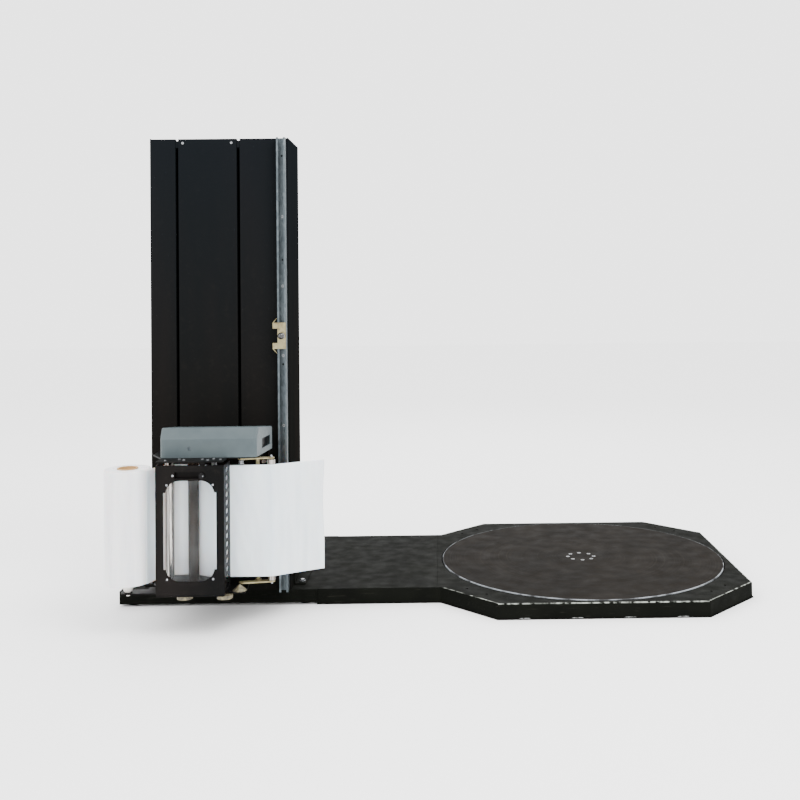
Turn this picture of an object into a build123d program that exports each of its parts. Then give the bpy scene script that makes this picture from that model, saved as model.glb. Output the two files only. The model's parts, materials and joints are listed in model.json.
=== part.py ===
"""Turntable pallet wrapper: a low round turntable, a mast and a film carriage.

Origin: the turntable's axis at floor level.  +X runs along the machine away from
the mast, +Y is away from the film carriage and +Z is up.  All sizes in millimetres.
"""
import os
from math import asin, cos, degrees, hypot, radians, sin

from build123d import *

os.makedirs("parts", exist_ok=True)

# ---------------------------------------------------------------- driving sizes
running_gap = 0.05          # radial gap of a shaft in its bore
body_gap = 0.5              # gap between two moving bodies that don't touch
sheet = 3.0                 # folded sheet steel of the mast and the gate

# base
pan_thickness = 4.0
deck_top = 75.0
deck_plate = 6.0
skirt = 5.0
octagon_half = 785.0        # half the distance across the flats
octagon_cut = 288.0         # leg of each 45 degree corner
pan_lip = 6.0               # how far the pan stands out under the skirts
strip_half = 520.0          # half the width of the bridge and of the mast's base
strip_left = -2334.0
mast_base_right = -1369.0
mast_base_lift = 12.0       # the mast's base stands on pads of this height
anchor_circle = 832.0
anchor_spread = 4.5         # degrees each side of a corner's middle
anchor_radius = 7.0

# turntable
disc_radius = 750.0
disc_thickness = 8.0
disc_top = 78.0
disc_gap = 6.0
hub_radius = 90.0
hub_flange = 8.0
hub_shaft = 25.0
table_sprocket_radius = 205.0
sprocket_thickness = 8.0
drive_sprocket_radius = 45.0
drive_x = -1780.0
support_circle = 620.0
support_radius = 24.0
support_width = 22.0
support_axle = 8.0
support_count = 4

# mast
mast_left, mast_right = -2172.0, -1494.0
mast_front, mast_back = -523.0, -165.0
mast_top = 2295.0
left_strip, centre_from, centre_to, right_strip = 124.0, 139.0, 425.0, 441.0
slot_return = 25.0
slot_top_margin = 45.0
mast_middle = (mast_left + mast_right) / 2
guide_y = -440.0
guide_wheel_radius = 25.0
guide_wheel_width = 26.0
lift_y = -380.0
lift_sprocket_radius = 40.0
lift_low, lift_high = 170.0, 2190.0
chain_thickness = 8.0

# height stop rail and cam
rail_left, rail_width, rail_depth, rail_wall, rail_lip = -1545.0, 43.0, 41.0, 2.5, 7.0
cam_low, cam_high = 1257.0, 1385.0
cam_reach = 23.0
cam_knob_radius = 17.0

# film carriage
frame_low, frame_high, frame_plate = 190.0, 783.0, 6.0
back_plate_y = -572.0
carriage_left, carriage_right = -2085.0, -1582.0
film_low, film_width = 241.0, 508.0
film_sheet = 0.8
roll_x, roll_y, roll_radius = -2166.0, -922.0, 103.0
core_outer, core_inner = 46.0, 38.1
spindle_radius = 12.0
chrome_x, rubber_x, roller_y = -1996.0, -1888.0, -850.0
chrome_radius, rubber_radius = 20.5, 24.0
idler_x, idler_y, idler_radius = -1790.0, -860.0, 12.0
exit_x, exit_y, exit_radius = -1532.0, -850.0, 18.0
shaft_radius = 8.0
pin_radius = 6.0
chrome_pulley, rubber_pulley = 22.0, 12.0
arm_low, arm_high, arm_thickness = 213.0, 775.0, 6.0
pivot_x = -1664.0
tail_length, tail_angle = 250.0, 30.0
guide_cone = (-1665.0, -922.0)
guide_cone_radius, guide_cone_height = 32.0, 26.0
cone_tongue, cone_tongue_place = (92.0, 74.0), (-1681.0, -914.0)

# gate
gate_left, gate_right, gate_front = -2021.0, -1716.0, -1000.0
gate_low, gate_high = 199.0, 771.0
gate_return = 125.0
hinge_x, hinge_y, hinge_radius = -2010.0, -985.0, 5.0
window_x, window_z, window_width, window_height = -1868.5, 482.5, 235.0, 445.0
latch_x, latch_z = -1814.0, 727.0

# cover
cover_left, cover_right, cover_front, cover_back = -2027.0, -1558.0, -900.0, -640.0
cover_end_slant = 32.0      # how far the right end slopes back to the left at the front
cover_low, cover_shoulder, cover_crest, cover_tail = 789.0, 873.0, 922.0, 894.0
cover_wall = 4.0

# control box
box_left, box_right, box_low, box_high = -2000.0, -1666.0, 1180.0, 1600.0
box_depth = 180.0


def save(name, piece):
    """Label one finished piece and write its STEP file."""
    piece.part.label = name
    export_step(piece.part, f"parts/{name}.step")


def block(x, y, z, mode=Mode.ADD):
    """A box between two places on each axis, in the part being built."""
    middle = ((x[0] + x[1]) / 2, (y[0] + y[1]) / 2, (z[0] + z[1]) / 2)
    with Locations(middle):
        Box(x[1] - x[0], y[1] - y[0], z[1] - z[0], mode=mode)


def octagon(half, cut):
    """The turntable surround's outline: a square with 45 degree corners."""
    with BuildSketch() as outline:
        Rectangle(2 * half, 2 * half)
        chamfer(outline.vertices(), cut)
    return outline.sketch


def rod(x, y, low, high, radius, bore=0.0):
    """An upright cylinder, or a tube when it has a bore."""
    with BuildPart(Plane((x, y, low))) as piece:
        Cylinder(radius, high - low, align=(Align.CENTER, Align.CENTER, Align.MIN))
        if bore:
            Cylinder(bore, high - low, align=(Align.CENTER, Align.CENTER, Align.MIN),
                     mode=Mode.SUBTRACT)
    return piece.part


def sprocket(plane, tip_radius, teeth, thickness):
    """A toothed wheel with plain pointed teeth, standing on the given plane."""
    root_radius = tip_radius - 7
    tooth_base = 0.62 * 2 * root_radius * sin(radians(180 / teeth))
    with BuildPart() as wheel:
        with BuildSketch(plane):
            Circle(root_radius)
            with PolarLocations(root_radius - 1, teeth):
                Trapezoid(tooth_base, 7.5, 65, align=(Align.CENTER, Align.MIN), rotation=-90)
        extrude(amount=thickness)
    return wheel.part


def endless_band(plane, radius_a, centre_b, radius_b, thickness, width):
    """A chain or belt round two wheels; the first stands on the plane's origin."""
    with BuildPart() as band:
        for grow, mode in ((body_gap + thickness, Mode.ADD), (body_gap, Mode.SUBTRACT)):
            with BuildSketch(plane):
                Circle(radius_a + grow)
                with Locations(centre_b):
                    Circle(radius_b + grow)
                make_hull()
            extrude(amount=width, mode=mode)
    return band.part


# ------------------------------------------------------------------------ base
anchor_angles = [corner + side for corner in (45, 135, 225, 315) for side in (-anchor_spread, anchor_spread)]
anchor_places = [(anchor_circle * cos(radians(a)), anchor_circle * sin(radians(a))) for a in anchor_angles]
bridge_reach = -500.0       # the bridge is drawn to here, then cut back to the octagon

with BuildPart() as base_pan:
    with BuildSketch():
        add(octagon(octagon_half, octagon_cut))
        with Locations(((mast_base_right + bridge_reach) / 2, 0)):
            Rectangle(bridge_reach - mast_base_right, 2 * strip_half)
        with Locations(anchor_places):
            Circle(anchor_radius, mode=Mode.SUBTRACT)
    extrude(amount=pan_thickness)
save("base_pan", base_pan)

surround_half = octagon_half - pan_lip
surround_cut = octagon_cut - pan_lip
with BuildPart() as turntable_surround:
    with BuildSketch(Plane.XY.offset(pan_thickness)):
        add(octagon(surround_half, surround_cut))
        add(octagon(surround_half - skirt, surround_cut - 0.6 * skirt), mode=Mode.SUBTRACT)
    extrude(amount=deck_top - pan_thickness)
    with BuildSketch(Plane.XY.offset(deck_top - deck_plate)):
        add(octagon(surround_half, surround_cut))
        with Locations(anchor_places):
            Circle(anchor_radius, mode=Mode.SUBTRACT)
    extrude(amount=deck_plate)
    with BuildSketch(Plane.XY.offset(deck_top - deck_plate)):
        Circle(disc_radius + disc_gap)
    extrude(amount=deck_plate, mode=Mode.SUBTRACT)
    block((-surround_half - 1, -surround_half + skirt + 1), (-480, 480),
          (pan_thickness, deck_top - deck_plate), Mode.SUBTRACT)
    fillet(turntable_surround.faces().sort_by(Axis.Z)[-1].outer_wire().edges(), 2.5)
save("turntable_surround", turntable_surround)

strip_skirt_y = strip_half - pan_lip
with BuildPart() as bridge_deck:
    block((mast_base_right, bridge_reach), (-strip_skirt_y, strip_skirt_y),
          (pan_thickness, deck_top))
    block((mast_base_right, bridge_reach), (-strip_skirt_y + skirt, strip_skirt_y - skirt),
          (pan_thickness, deck_top - deck_plate), Mode.SUBTRACT)
    with BuildSketch(Plane.XY.offset(pan_thickness)):
        add(octagon(surround_half, surround_cut))
    extrude(amount=deck_top, mode=Mode.SUBTRACT)
save("bridge_deck", bridge_deck)

pad_radius = 35.0
mast_plate = 8.0
bolt_x = (-1455.0, mast_left - 39.0)
bolt_y = (-398.0, -194.0)
bolt_places = [(x, y) for x in bolt_x for y in bolt_y]
bolt_hole = 6.5
with BuildPart() as mast_base:
    block((strip_left, mast_base_right), (-strip_half, strip_half), (mast_base_lift, deck_top))
    block((strip_left + skirt, mast_base_right - skirt), (-strip_half + skirt, strip_half - skirt),
          (mast_base_lift, deck_top - mast_plate), Mode.SUBTRACT)
    block((mast_base_right - skirt, mast_base_right), (-480, 480),
          (mast_base_lift, deck_top - mast_plate), Mode.SUBTRACT)
    with BuildSketch(Plane.XY):
        for x in (strip_left + 60, mast_base_right - 60):
            for y in (-strip_half + 60, strip_half - 60):
                with Locations((x, y)):
                    Circle(pad_radius)
    extrude(amount=deck_top - mast_plate)
    with BuildSketch(Plane.XY.offset(deck_top - mast_plate)):
        with Locations(bolt_places):
            Circle(bolt_hole)
        with Locations((drive_x, 0)):
            Circle(30)
    extrude(amount=mast_plate, mode=Mode.SUBTRACT)
save("mast_base", mast_base)

# ------------------------------------------------------------------- turntable
with BuildPart() as turntable_disc:
    with BuildSketch(Plane.XY.offset(disc_top - disc_thickness)):
        Circle(disc_radius)
    extrude(amount=disc_thickness)
    fillet(turntable_disc.edges().group_by(Axis.Z)[-1], 2)
save("turntable_disc", turntable_disc)

disc_under = disc_top - disc_thickness
sprocket_low = disc_under - hub_flange - sprocket_thickness
lightening = 34.0
with BuildPart() as turntable_hub:
    add(sprocket(Plane.XY.offset(sprocket_low), table_sprocket_radius, 50, sprocket_thickness))
    add(rod(0, 0, sprocket_low, disc_under, hub_radius))
    add(rod(0, 0, pan_thickness + 4, sprocket_low, hub_shaft))
    with BuildSketch(Plane.XY.offset(sprocket_low)):
        with PolarLocations(142, 6):
            Circle(lightening)
    extrude(amount=sprocket_thickness, mode=Mode.SUBTRACT)
save("turntable_hub", turntable_hub)

with BuildPart() as centre_bearing:
    add(rod(0, 0, pan_thickness, 38, 46, hub_shaft + running_gap))
    add(rod(0, 0, pan_thickness, pan_thickness + 8, 78, hub_shaft + running_gap))
save("centre_bearing", centre_bearing)

support_z = disc_under - body_gap - support_radius
support_angles = [45 + 360 / support_count * k for k in range(support_count)]


def support_plane(angle):
    """The plane at one support wheel's middle, its normal along the wheel's axle."""
    a = radians(angle)
    place = (support_circle * cos(a), support_circle * sin(a), support_z)
    return Plane(place, x_dir=(-sin(a), cos(a), 0), z_dir=(cos(a), sin(a), 0))


for number, angle in enumerate(support_angles, 1):
    with BuildPart(support_plane(angle)) as support_wheel:
        Cylinder(support_radius, support_width)
        Cylinder(support_axle + running_gap, support_width, mode=Mode.SUBTRACT)
        rims = support_wheel.edges().filter_by(GeomType.CIRCLE)
        fillet(rims.filter_by(lambda edge: edge.radius > support_axle + 1), 2)
    save(f"support_wheel_{number}", support_wheel)

cheek = 6.0
cheek_out = support_width / 2 + 2
with BuildPart() as wheel_brackets:
    for angle in support_angles:
        place = support_plane(angle)
        for start in (-cheek_out - cheek, cheek_out):
            with BuildSketch(place.offset(start)):
                Rectangle(44, support_z - pan_thickness, align=(Align.CENTER, Align.MAX))
                Circle(18)
            extrude(amount=cheek)
        with BuildSketch(place.offset(-cheek_out)):
            Circle(support_axle)
        extrude(amount=2 * cheek_out)
save("wheel_brackets", wheel_brackets)

drive_sprocket_teeth = 11
with BuildPart() as table_drive_sprocket:
    add(sprocket(Plane((drive_x, 0, sprocket_low)), drive_sprocket_radius, drive_sprocket_teeth,
                 sprocket_thickness))
    add(rod(drive_x, 0, sprocket_low - 6, 120, spindle_radius))
save("table_drive_sprocket", table_drive_sprocket)

with BuildPart() as table_gearmotor:
    block((drive_x - 70, drive_x + 70), (-70, 70), (deck_top, 205))
    add(rod(drive_x, 0, 205, 215, 58))
    add(rod(drive_x, 0, 215, 380, 66))
    block((drive_x - 95, drive_x - 60), (-35, 35), (255, 335))
    add(rod(drive_x, 0, deck_top, 121, spindle_radius + running_gap), mode=Mode.SUBTRACT)
    fillet(table_gearmotor.edges().filter_by(Axis.Z).group_by(Axis.X)[-1], 10)
save("table_gearmotor", table_gearmotor)

with BuildPart() as table_drive_chain:
    add(endless_band(Plane((0, 0, sprocket_low + 1)), table_sprocket_radius, (drive_x, 0),
                     drive_sprocket_radius, chain_thickness, sprocket_thickness - 2))
save("table_drive_chain", table_drive_chain)

cover_half_x, cover_half_y, drive_cover_top = 118.0, 100.0, 420.0
with BuildPart() as drive_cover:
    block((drive_x - cover_half_x, drive_x + cover_half_x), (-cover_half_y, cover_half_y),
          (deck_top, drive_cover_top))
    fillet(drive_cover.edges().filter_by(Axis.Z), 14)
    chamfer(drive_cover.edges().group_by(Axis.Z)[-1], 10)
    offset(amount=-2.0, openings=drive_cover.faces().sort_by(Axis.Z)[0])
save("drive_cover", drive_cover)

# ------------------------------------------------------------------------ mast
panel_top = mast_top - 3.0
with BuildPart() as mast_left_shell:
    block((mast_left, mast_left + left_strip), (mast_front, mast_front + sheet), (deck_top, panel_top))
    block((mast_left, mast_left + sheet), (mast_front, mast_back), (deck_top, mast_top))
    block((mast_left + left_strip - sheet, mast_left + left_strip),
          (mast_front, mast_front + slot_return), (deck_top, panel_top))
save("mast_left_shell", mast_left_shell)

with BuildPart() as mast_front_panel:
    block((mast_left + centre_from, mast_left + centre_to), (mast_front, mast_front + sheet),
          (deck_top, panel_top))
    for edge in (centre_from, centre_to - sheet):
        block((mast_left + edge, mast_left + edge + sheet), (mast_front, mast_front + slot_return),
              (deck_top, panel_top))
save("mast_front_panel", mast_front_panel)

with BuildPart() as mast_right_shell:
    block((mast_left + right_strip, mast_right), (mast_front, mast_front + sheet), (deck_top, panel_top))
    block((mast_right - sheet, mast_right), (mast_front, mast_back), (deck_top, mast_top))
    block((mast_left + right_strip, mast_left + right_strip + sheet),
          (mast_front, mast_front + slot_return), (deck_top, panel_top))
save("mast_right_shell", mast_right_shell)

with BuildPart() as mast_back_panel:
    block((mast_left + sheet, mast_right - sheet), (mast_back - sheet, mast_back), (deck_top, mast_top))
save("mast_back_panel", mast_back_panel)

inner_left, inner_right = mast_left + sheet, mast_right - sheet
bearing_half = 37.0
beam_low = lift_high + 50
with BuildPart() as mast_top_cap:
    block((inner_left, inner_right), (mast_front + slot_return, mast_back - sheet),
          (mast_top - 12, mast_top - 9))
    block((mast_left + left_strip, mast_left + right_strip),
          (mast_front + slot_return, mast_front + slot_return + 4),
          (mast_top - slot_top_margin - 5, mast_top - 12))
    for side in (centre_from - 7.5, centre_to + 8):
        block((mast_left + side - 7, mast_left + side + 7),
              (mast_front + sheet, mast_front + slot_return),
              (mast_top - slot_top_margin, mast_top - 12))
    block((inner_left, inner_right), (lift_y - 30, lift_y + 30), (beam_low, mast_top - 12))
    for side in (-bearing_half, bearing_half - 10):
        block((mast_middle + side, mast_middle + side + 10), (lift_y - 30, lift_y + 30),
              (lift_high - 25, beam_low))
    with Locations((mast_middle, lift_y, lift_high)):
        Cylinder(spindle_radius + running_gap, 2 * bearing_half + 2, rotation=(0, 90, 0),
                 mode=Mode.SUBTRACT)
save("mast_top_cap", mast_top_cap)

angle_leg, angle_wall = 60.0, 6.0
bracket_y = (-440.0, -150.0)
with BuildPart() as mast_foot_brackets:
    for face, way in ((mast_right, 1), (mast_left, -1)):
        block(sorted((face, face + way * angle_leg)), bracket_y, (deck_top, deck_top + angle_wall))
        block(sorted((face, face + way * angle_wall)), bracket_y, (deck_top, deck_top + angle_leg))
    with Locations([(x, y, deck_top + angle_wall) for x, y in bolt_places]):
        Cylinder(bolt_hole, 3 * angle_wall, mode=Mode.SUBTRACT)
save("mast_foot_brackets", mast_foot_brackets)

with BuildPart() as mast_foot_bolts:
    for x, y in bolt_places:
        with BuildSketch(Plane((x, y, deck_top + angle_wall + 2.5))):
            RegularPolygon(11, 6)
        extrude(amount=8)
        add(rod(x, y, deck_top + angle_wall, deck_top + angle_wall + 2.5, 14))
        add(rod(x, y, deck_top - mast_plate - 14, deck_top + angle_wall, 6))
save("mast_foot_bolts", mast_foot_bolts)

rail_web, rail_flange, rail_fit = 5.0, 35.0, guide_wheel_radius + body_gap
with BuildPart() as guide_rails:
    for wall, way in ((inner_left, 1), (inner_right, -1)):
        block(sorted((wall, wall + way * (rail_web + rail_flange))),
              (guide_y - rail_fit - rail_web, guide_y + rail_fit + rail_web), (deck_top, beam_low))
        block(sorted((wall + way * rail_web, wall + way * (rail_web + rail_flange + 1))),
              (guide_y - rail_fit, guide_y + rail_fit), (deck_top - 1, beam_low + 1), Mode.SUBTRACT)
save("guide_rails", guide_rails)

rail_low, rail_high = deck_top, mast_top - 3
rail_right = rail_left + rail_width
rail_front = mast_front - rail_depth
rail_screw_z = [666.0 + 513.0 * k for k in range(4)]
with BuildPart() as strut_rail:
    block((rail_left, rail_right), (rail_front, mast_front), (rail_low, rail_high))
    block((rail_left + rail_wall, rail_right - rail_wall), (rail_front + rail_wall, mast_front - rail_wall),
          (rail_low, rail_high), Mode.SUBTRACT)
    block((rail_left + rail_wall + rail_lip, rail_right - rail_wall - rail_lip),
          (rail_front - 1, rail_front + rail_wall + 1), (rail_low, rail_high), Mode.SUBTRACT)
    with Locations([((rail_left + rail_right) / 2, mast_front - rail_wall / 2, z)
                    for z in rail_screw_z if z < rail_high]):
        Cylinder(5, 3 * rail_wall, rotation=(90, 0, 0), mode=Mode.SUBTRACT)
save("strut_rail", strut_rail)

# ------------------------------------------------------------------ lift drive
chain_plane = Plane((mast_middle - sprocket_thickness / 2 + 1, lift_y, lift_low), x_dir=(0, 0, 1),
                    z_dir=(1, 0, 0))
with BuildPart() as lift_chain:
    add(endless_band(chain_plane, lift_sprocket_radius, (lift_high - lift_low, 0),
                     lift_sprocket_radius, chain_thickness, sprocket_thickness - 2))
save("lift_chain", lift_chain)

lift_teeth = 10
for name, z, shaft in (("lift_sprocket_lower", lift_low, (-20, 52)),
                       ("lift_sprocket_upper", lift_high, (-bearing_half - 3, bearing_half + 3))):
    with BuildPart() as lift_sprocket:
        add(sprocket(Plane((mast_middle - sprocket_thickness / 2, lift_y, z), x_dir=(0, 0, 1),
                           z_dir=(1, 0, 0)), lift_sprocket_radius, lift_teeth, sprocket_thickness))
        with BuildSketch(Plane((mast_middle + shaft[0], lift_y, z), x_dir=(0, 0, 1), z_dir=(1, 0, 0))):
            Circle(spindle_radius)
        extrude(amount=shaft[1] - shaft[0])
    save(name, lift_sprocket)

gearbox_left = mast_middle + 18
gearbox_right = gearbox_left + 80
with BuildPart() as lift_gearmotor:
    block((gearbox_left, gearbox_right), (lift_y - 60, lift_y + 60), (deck_top, lift_low + 60))
    with BuildSketch(Plane((gearbox_right, lift_y, lift_low), x_dir=(0, 0, 1), z_dir=(1, 0, 0))):
        Circle(60)
    extrude(amount=165)
    block((gearbox_right + 30, gearbox_right + 110), (lift_y + 40, lift_y + 90),
          (lift_low - 30, lift_low + 30))
    with Locations((gearbox_left + 17, lift_y, lift_low)):
        Cylinder(spindle_radius + running_gap, 36, rotation=(0, 90, 0), mode=Mode.SUBTRACT)
save("lift_gearmotor", lift_gearmotor)

# --------------------------------------------------------- trolley and its wheels
trolley_y = -485.0
trolley_plate = 10.0
trolley_low, trolley_high = 236.0, 756.0
wing = 8.0
wing_left = inner_left + 50
wing_right = inner_right - 50
wing_back = guide_y + 25
arm_x = (mast_left + (left_strip + centre_from) / 2, mast_left + (centre_to + right_strip) / 2)
wheel_z = (trolley_low + 60, trolley_high - 60)
wheel_inset = 4.0
wheel_from = inner_left + rail_web + wheel_inset
with BuildPart() as carriage_trolley:
    block((wing_left, wing_right), (trolley_y, trolley_y + trolley_plate), (trolley_low, trolley_high))
    block((wing_left, wing_left + wing), (trolley_y, wing_back), (trolley_low, trolley_high))
    block((wing_right - wing, wing_right), (trolley_y, wing_back), (trolley_low, trolley_high))
    for x in arm_x:
        block((x - 4, x + 4), (back_plate_y + frame_plate, trolley_y), (trolley_low + 20, trolley_high - 20))
    block((mast_middle - 20, mast_middle + 20), (trolley_y + trolley_plate, lift_y - 51), (470, 520))
    for z in wheel_z:
        for start, end in ((wheel_from - 2, wing_left), (wing_right, inner_right - rail_web - 2)):
            with Locations(((start + end) / 2, guide_y, z)):
                Cylinder(support_axle, end - start, rotation=(0, 90, 0))
save("carriage_trolley", carriage_trolley)

for name, z in (("lower_guide_wheels", wheel_z[0]), ("upper_guide_wheels", wheel_z[1])):
    with BuildPart() as guide_wheels:
        left_middle = wheel_from + guide_wheel_width / 2
        with Locations((left_middle, guide_y, z), (2 * mast_middle - left_middle, guide_y, z)):
            Cylinder(guide_wheel_radius, guide_wheel_width, rotation=(0, 90, 0))
            Cylinder(support_axle + running_gap, guide_wheel_width, rotation=(0, 90, 0),
                     mode=Mode.SUBTRACT)
    save(name, guide_wheels)

# -------------------------------------------------------------- carriage frame
pivot_y = idler_y - idler_radius - 0.6   # the dancer turns about a line in the film
frame_low_top = frame_low + frame_plate
plate_front = gate_front + 6.0
frame_high_top = frame_high + frame_plate
with BuildPart() as carriage_frame:
    block((carriage_left, carriage_right), (back_plate_y, back_plate_y + frame_plate),
          (frame_low, frame_high_top))
    for z in (frame_low, frame_high):
        with BuildSketch(Plane.XY.offset(z)):
            with BuildLine():
                Polyline((carriage_left, back_plate_y), (carriage_left, -800), (gate_left, -905),
                         (gate_left, plate_front), (gate_right - 6, plate_front), (gate_right - 6, -905),
                         (pivot_x + 24, pivot_y - 24), (pivot_x + 24, -800), (carriage_right, -660),
                         (carriage_right, back_plate_y), close=True)
            make_face()
            with Locations((chrome_x, roller_y), (rubber_x, roller_y)):
                Circle(shaft_radius + running_gap, mode=Mode.SUBTRACT)
        extrude(amount=frame_plate)
    with BuildSketch(Plane.XY.offset(frame_low)):
        with Locations(((roll_x + carriage_left) / 2, roll_y)):
            Rectangle(carriage_left - roll_x, 64)
        with Locations(((carriage_left + gate_left) / 2, roll_y + 16)):
            Rectangle(gate_left - carriage_left + 2, 96)
        with Locations((roll_x, roll_y)):
            Circle(32)
            Circle(spindle_radius + running_gap, mode=Mode.SUBTRACT)
        with Locations(cone_tongue_place):
            Rectangle(*cone_tongue)
    extrude(amount=frame_plate)
    for x, depth in ((carriage_left, 90), (carriage_right - frame_plate, 28)):
        block((x, x + frame_plate), (back_plate_y - depth, back_plate_y), (frame_low_top, frame_high))
    block((latch_x - 12, latch_x + 12), (plate_front, plate_front + 2.2), (latch_z + 13, frame_high))
    for x, y, radius in ((hinge_x, hinge_y, hinge_radius), (pivot_x, pivot_y, pin_radius)):
        add(rod(x, y, frame_low_top, (gate_low if radius == hinge_radius else arm_low) + 5, radius))
        add(rod(x, y, (gate_high if radius == hinge_radius else arm_high) - 5, frame_high, radius))
    add(rod(idler_x, idler_y, frame_low_top, frame_high, pin_radius))
save("carriage_frame", carriage_frame)

# rollers
roller_low, roller_high = 212.0, 768.0
for name, x, radius, pulley in (("chrome_roller", chrome_x, chrome_radius, chrome_pulley),
                                ("rubber_roller", rubber_x, rubber_radius, rubber_pulley)):
    with BuildPart() as roller:
        add(rod(x, roller_y, roller_low, roller_high, radius))
        add(rod(x, roller_y, frame_low - 4, 803, shaft_radius))
        add(rod(x, roller_y, 793, 803, pulley))
        if name == "rubber_roller":
            add(rod(x, roller_y, 803, 830, shaft_radius))
    save(name, roller)

with BuildPart() as idler_roller:
    add(rod(idler_x, idler_y, roller_low, roller_high, idler_radius, pin_radius + running_gap))
save("idler_roller", idler_roller)

with BuildPart() as prestretch_belt:
    add(endless_band(Plane((chrome_x, roller_y, 794)), chrome_pulley, (rubber_x - chrome_x, 0),
                     rubber_pulley, 3.0, 8.0))
save("prestretch_belt", prestretch_belt)

motor_low, motor_front, motor_rear = 808.0, -890.0, -770.0
with BuildPart() as prestretch_motor:
    block((rubber_x - 45, rubber_x + 45), (motor_front, motor_rear), (motor_low, motor_low + 60))
    for x in (rubber_x - 45, rubber_x + 35):
        block((x, x + 10), (motor_rear - 30, motor_rear), (frame_high_top, motor_low))
    with BuildSketch(Plane((rubber_x + 45, motor_rear - 40, motor_low + 42), x_dir=(0, 0, 1),
                           z_dir=(1, 0, 0))):
        Circle(42)
    extrude(amount=150)
    add(rod(rubber_x, roller_y, motor_low, 831, shaft_radius + running_gap), mode=Mode.SUBTRACT)
save("prestretch_motor", prestretch_motor)

# ----------------------------------------------------------------------- cover
end_port_y, end_port_z = (-813.0, -685.0), (815.0, 860.0)
with BuildPart() as carriage_cover:
    with BuildSketch(Plane.YZ.offset(cover_left)):
        with BuildLine():
            Polyline((cover_front, cover_low), (cover_front, cover_shoulder),
                     (cover_front + 32, cover_crest), (cover_back, cover_tail),
                     (cover_back, cover_low), close=True)
        make_face()
    extrude(amount=cover_right - cover_left)
    with BuildSketch(Plane.XY.offset(cover_low)):
        with BuildLine():
            Polyline((cover_right - cover_end_slant, cover_front), (cover_right + 1, cover_front),
                     (cover_right + 1, cover_back), (cover_right, cover_back), close=True)
        make_face()
    extrude(amount=cover_crest - cover_low, mode=Mode.SUBTRACT)
    fillet(carriage_cover.edges().filter_by(Axis.Z), 15)
    fillet(carriage_cover.edges().filter_by(Axis.X).group_by(Axis.Z)[1:], 8)
    offset(amount=-cover_wall, openings=carriage_cover.faces().sort_by(Axis.Z)[0])
    block((cover_right - cover_end_slant, cover_right + 1), end_port_y, end_port_z, Mode.SUBTRACT)
    with Locations((-1894, cover_front, 830)):
        Cylinder(8, 4 * cover_wall, rotation=(90, 0, 0), mode=Mode.SUBTRACT)
save("carriage_cover", carriage_cover)

sensor_x = (-1610.0, -1585.0)
with BuildPart() as load_sensor:
    block(sensor_x, (end_port_y[0] + 6, end_port_y[1] - 6), (end_port_z[0] - 3, end_port_z[1] + 2))
    block((sensor_x[0], sensor_x[0] + 10), (-760, -738), (frame_high_top, end_port_z[0] - 3))
save("load_sensor", load_sensor)

bumper_radius = 35.0
bumper_low = frame_low - 16
with BuildPart() as carriage_bumpers:
    for x, y in ((-1902.0, -958.0), (-1724.0, -958.0)):
        add(rod(x, y, bumper_low, frame_low, bumper_radius))
    with Locations((*guide_cone, frame_low_top + guide_cone_height / 2)):
        Cone(guide_cone_radius, 4, guide_cone_height)
save("carriage_bumpers", carriage_bumpers)

# ------------------------------------------------------------------------ gate
handle_x, handle_z = (-1936.0, -1828.0), (713.0, 743.0)
perforations, perforation_pitch = 15, 37.0
with BuildPart() as gate_frame:
    block((gate_left, gate_right), (gate_front, gate_front + sheet), (gate_low, gate_high))
    block((gate_right - sheet, gate_right), (gate_front, gate_front + gate_return), (gate_low, gate_high))
    block((gate_left, gate_left + sheet), (gate_front, gate_front + 30), (gate_low, gate_high))
    for z in (gate_low, gate_high - sheet):
        block((gate_left, gate_left + 26), (gate_front, gate_front + 27), (z, z + sheet))
        block((gate_left, gate_right), (gate_front, gate_front + 14), (z, z + sheet))
    block((latch_x - 16, latch_x + 16), (gate_front + sheet, gate_front + 15),
          (gate_high - sheet, gate_high), Mode.SUBTRACT)
    with BuildSketch(Plane((window_x, gate_front, window_z), x_dir=(1, 0, 0), z_dir=(0, -1, 0))):
        RectangleRounded(window_width - 18, window_height, 62)
        Rectangle(window_width, window_height - 105)
    extrude(amount=2 * sheet, both=True, mode=Mode.SUBTRACT)
    cup = 2.0
    block((handle_x[0] - cup, handle_x[1] + cup), (gate_front + sheet, gate_front + 25),
          (handle_z[0] - cup, handle_z[1] + cup))
    block(handle_x, (gate_front, gate_front + 25 - cup), handle_z, Mode.SUBTRACT)
    with BuildSketch(Plane((gate_right, gate_front + 64, window_z), x_dir=(0, 1, 0), z_dir=(1, 0, 0))):
        with GridLocations(0, perforation_pitch, 1, perforations):
            SlotOverall(48, 22)
    extrude(amount=2 * sheet, both=True, mode=Mode.SUBTRACT)
    with Locations((hinge_x, hinge_y, (gate_low + gate_high) / 2)):
        Cylinder(hinge_radius + running_gap, gate_high - gate_low + 2, mode=Mode.SUBTRACT)
    with Locations((latch_x, gate_front, latch_z)):
        Cylinder(5 + running_gap, 4 * sheet, rotation=(90, 0, 0), mode=Mode.SUBTRACT)
save("gate_frame", gate_frame)

with BuildPart() as gate_window:
    block((window_x - window_width / 2 - 9, window_x + window_width / 2 + 9),
          (gate_front + sheet, gate_front + 2 * sheet),
          (window_z - window_height / 2 - 9, window_z + window_height / 2 + 4))
save("gate_window", gate_window)

latch_plane = Plane((latch_x, gate_front - 0.3, latch_z), x_dir=(1, 0, 0), z_dir=(0, -1, 0))
with BuildPart() as gate_latch:
    with BuildSketch(latch_plane):
        Circle(12)
    extrude(amount=10)
    with BuildSketch(latch_plane.offset(10)):
        Rectangle(20, 5)
    extrude(amount=3)
    with BuildSketch(latch_plane.offset(-9)):
        Circle(5)
    extrude(amount=9)
    with BuildSketch(latch_plane.offset(-12)):
        Circle(8)
        with Locations((13, 0)):
            Rectangle(26, 12)
    extrude(amount=3)
save("gate_latch", gate_latch)

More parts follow.
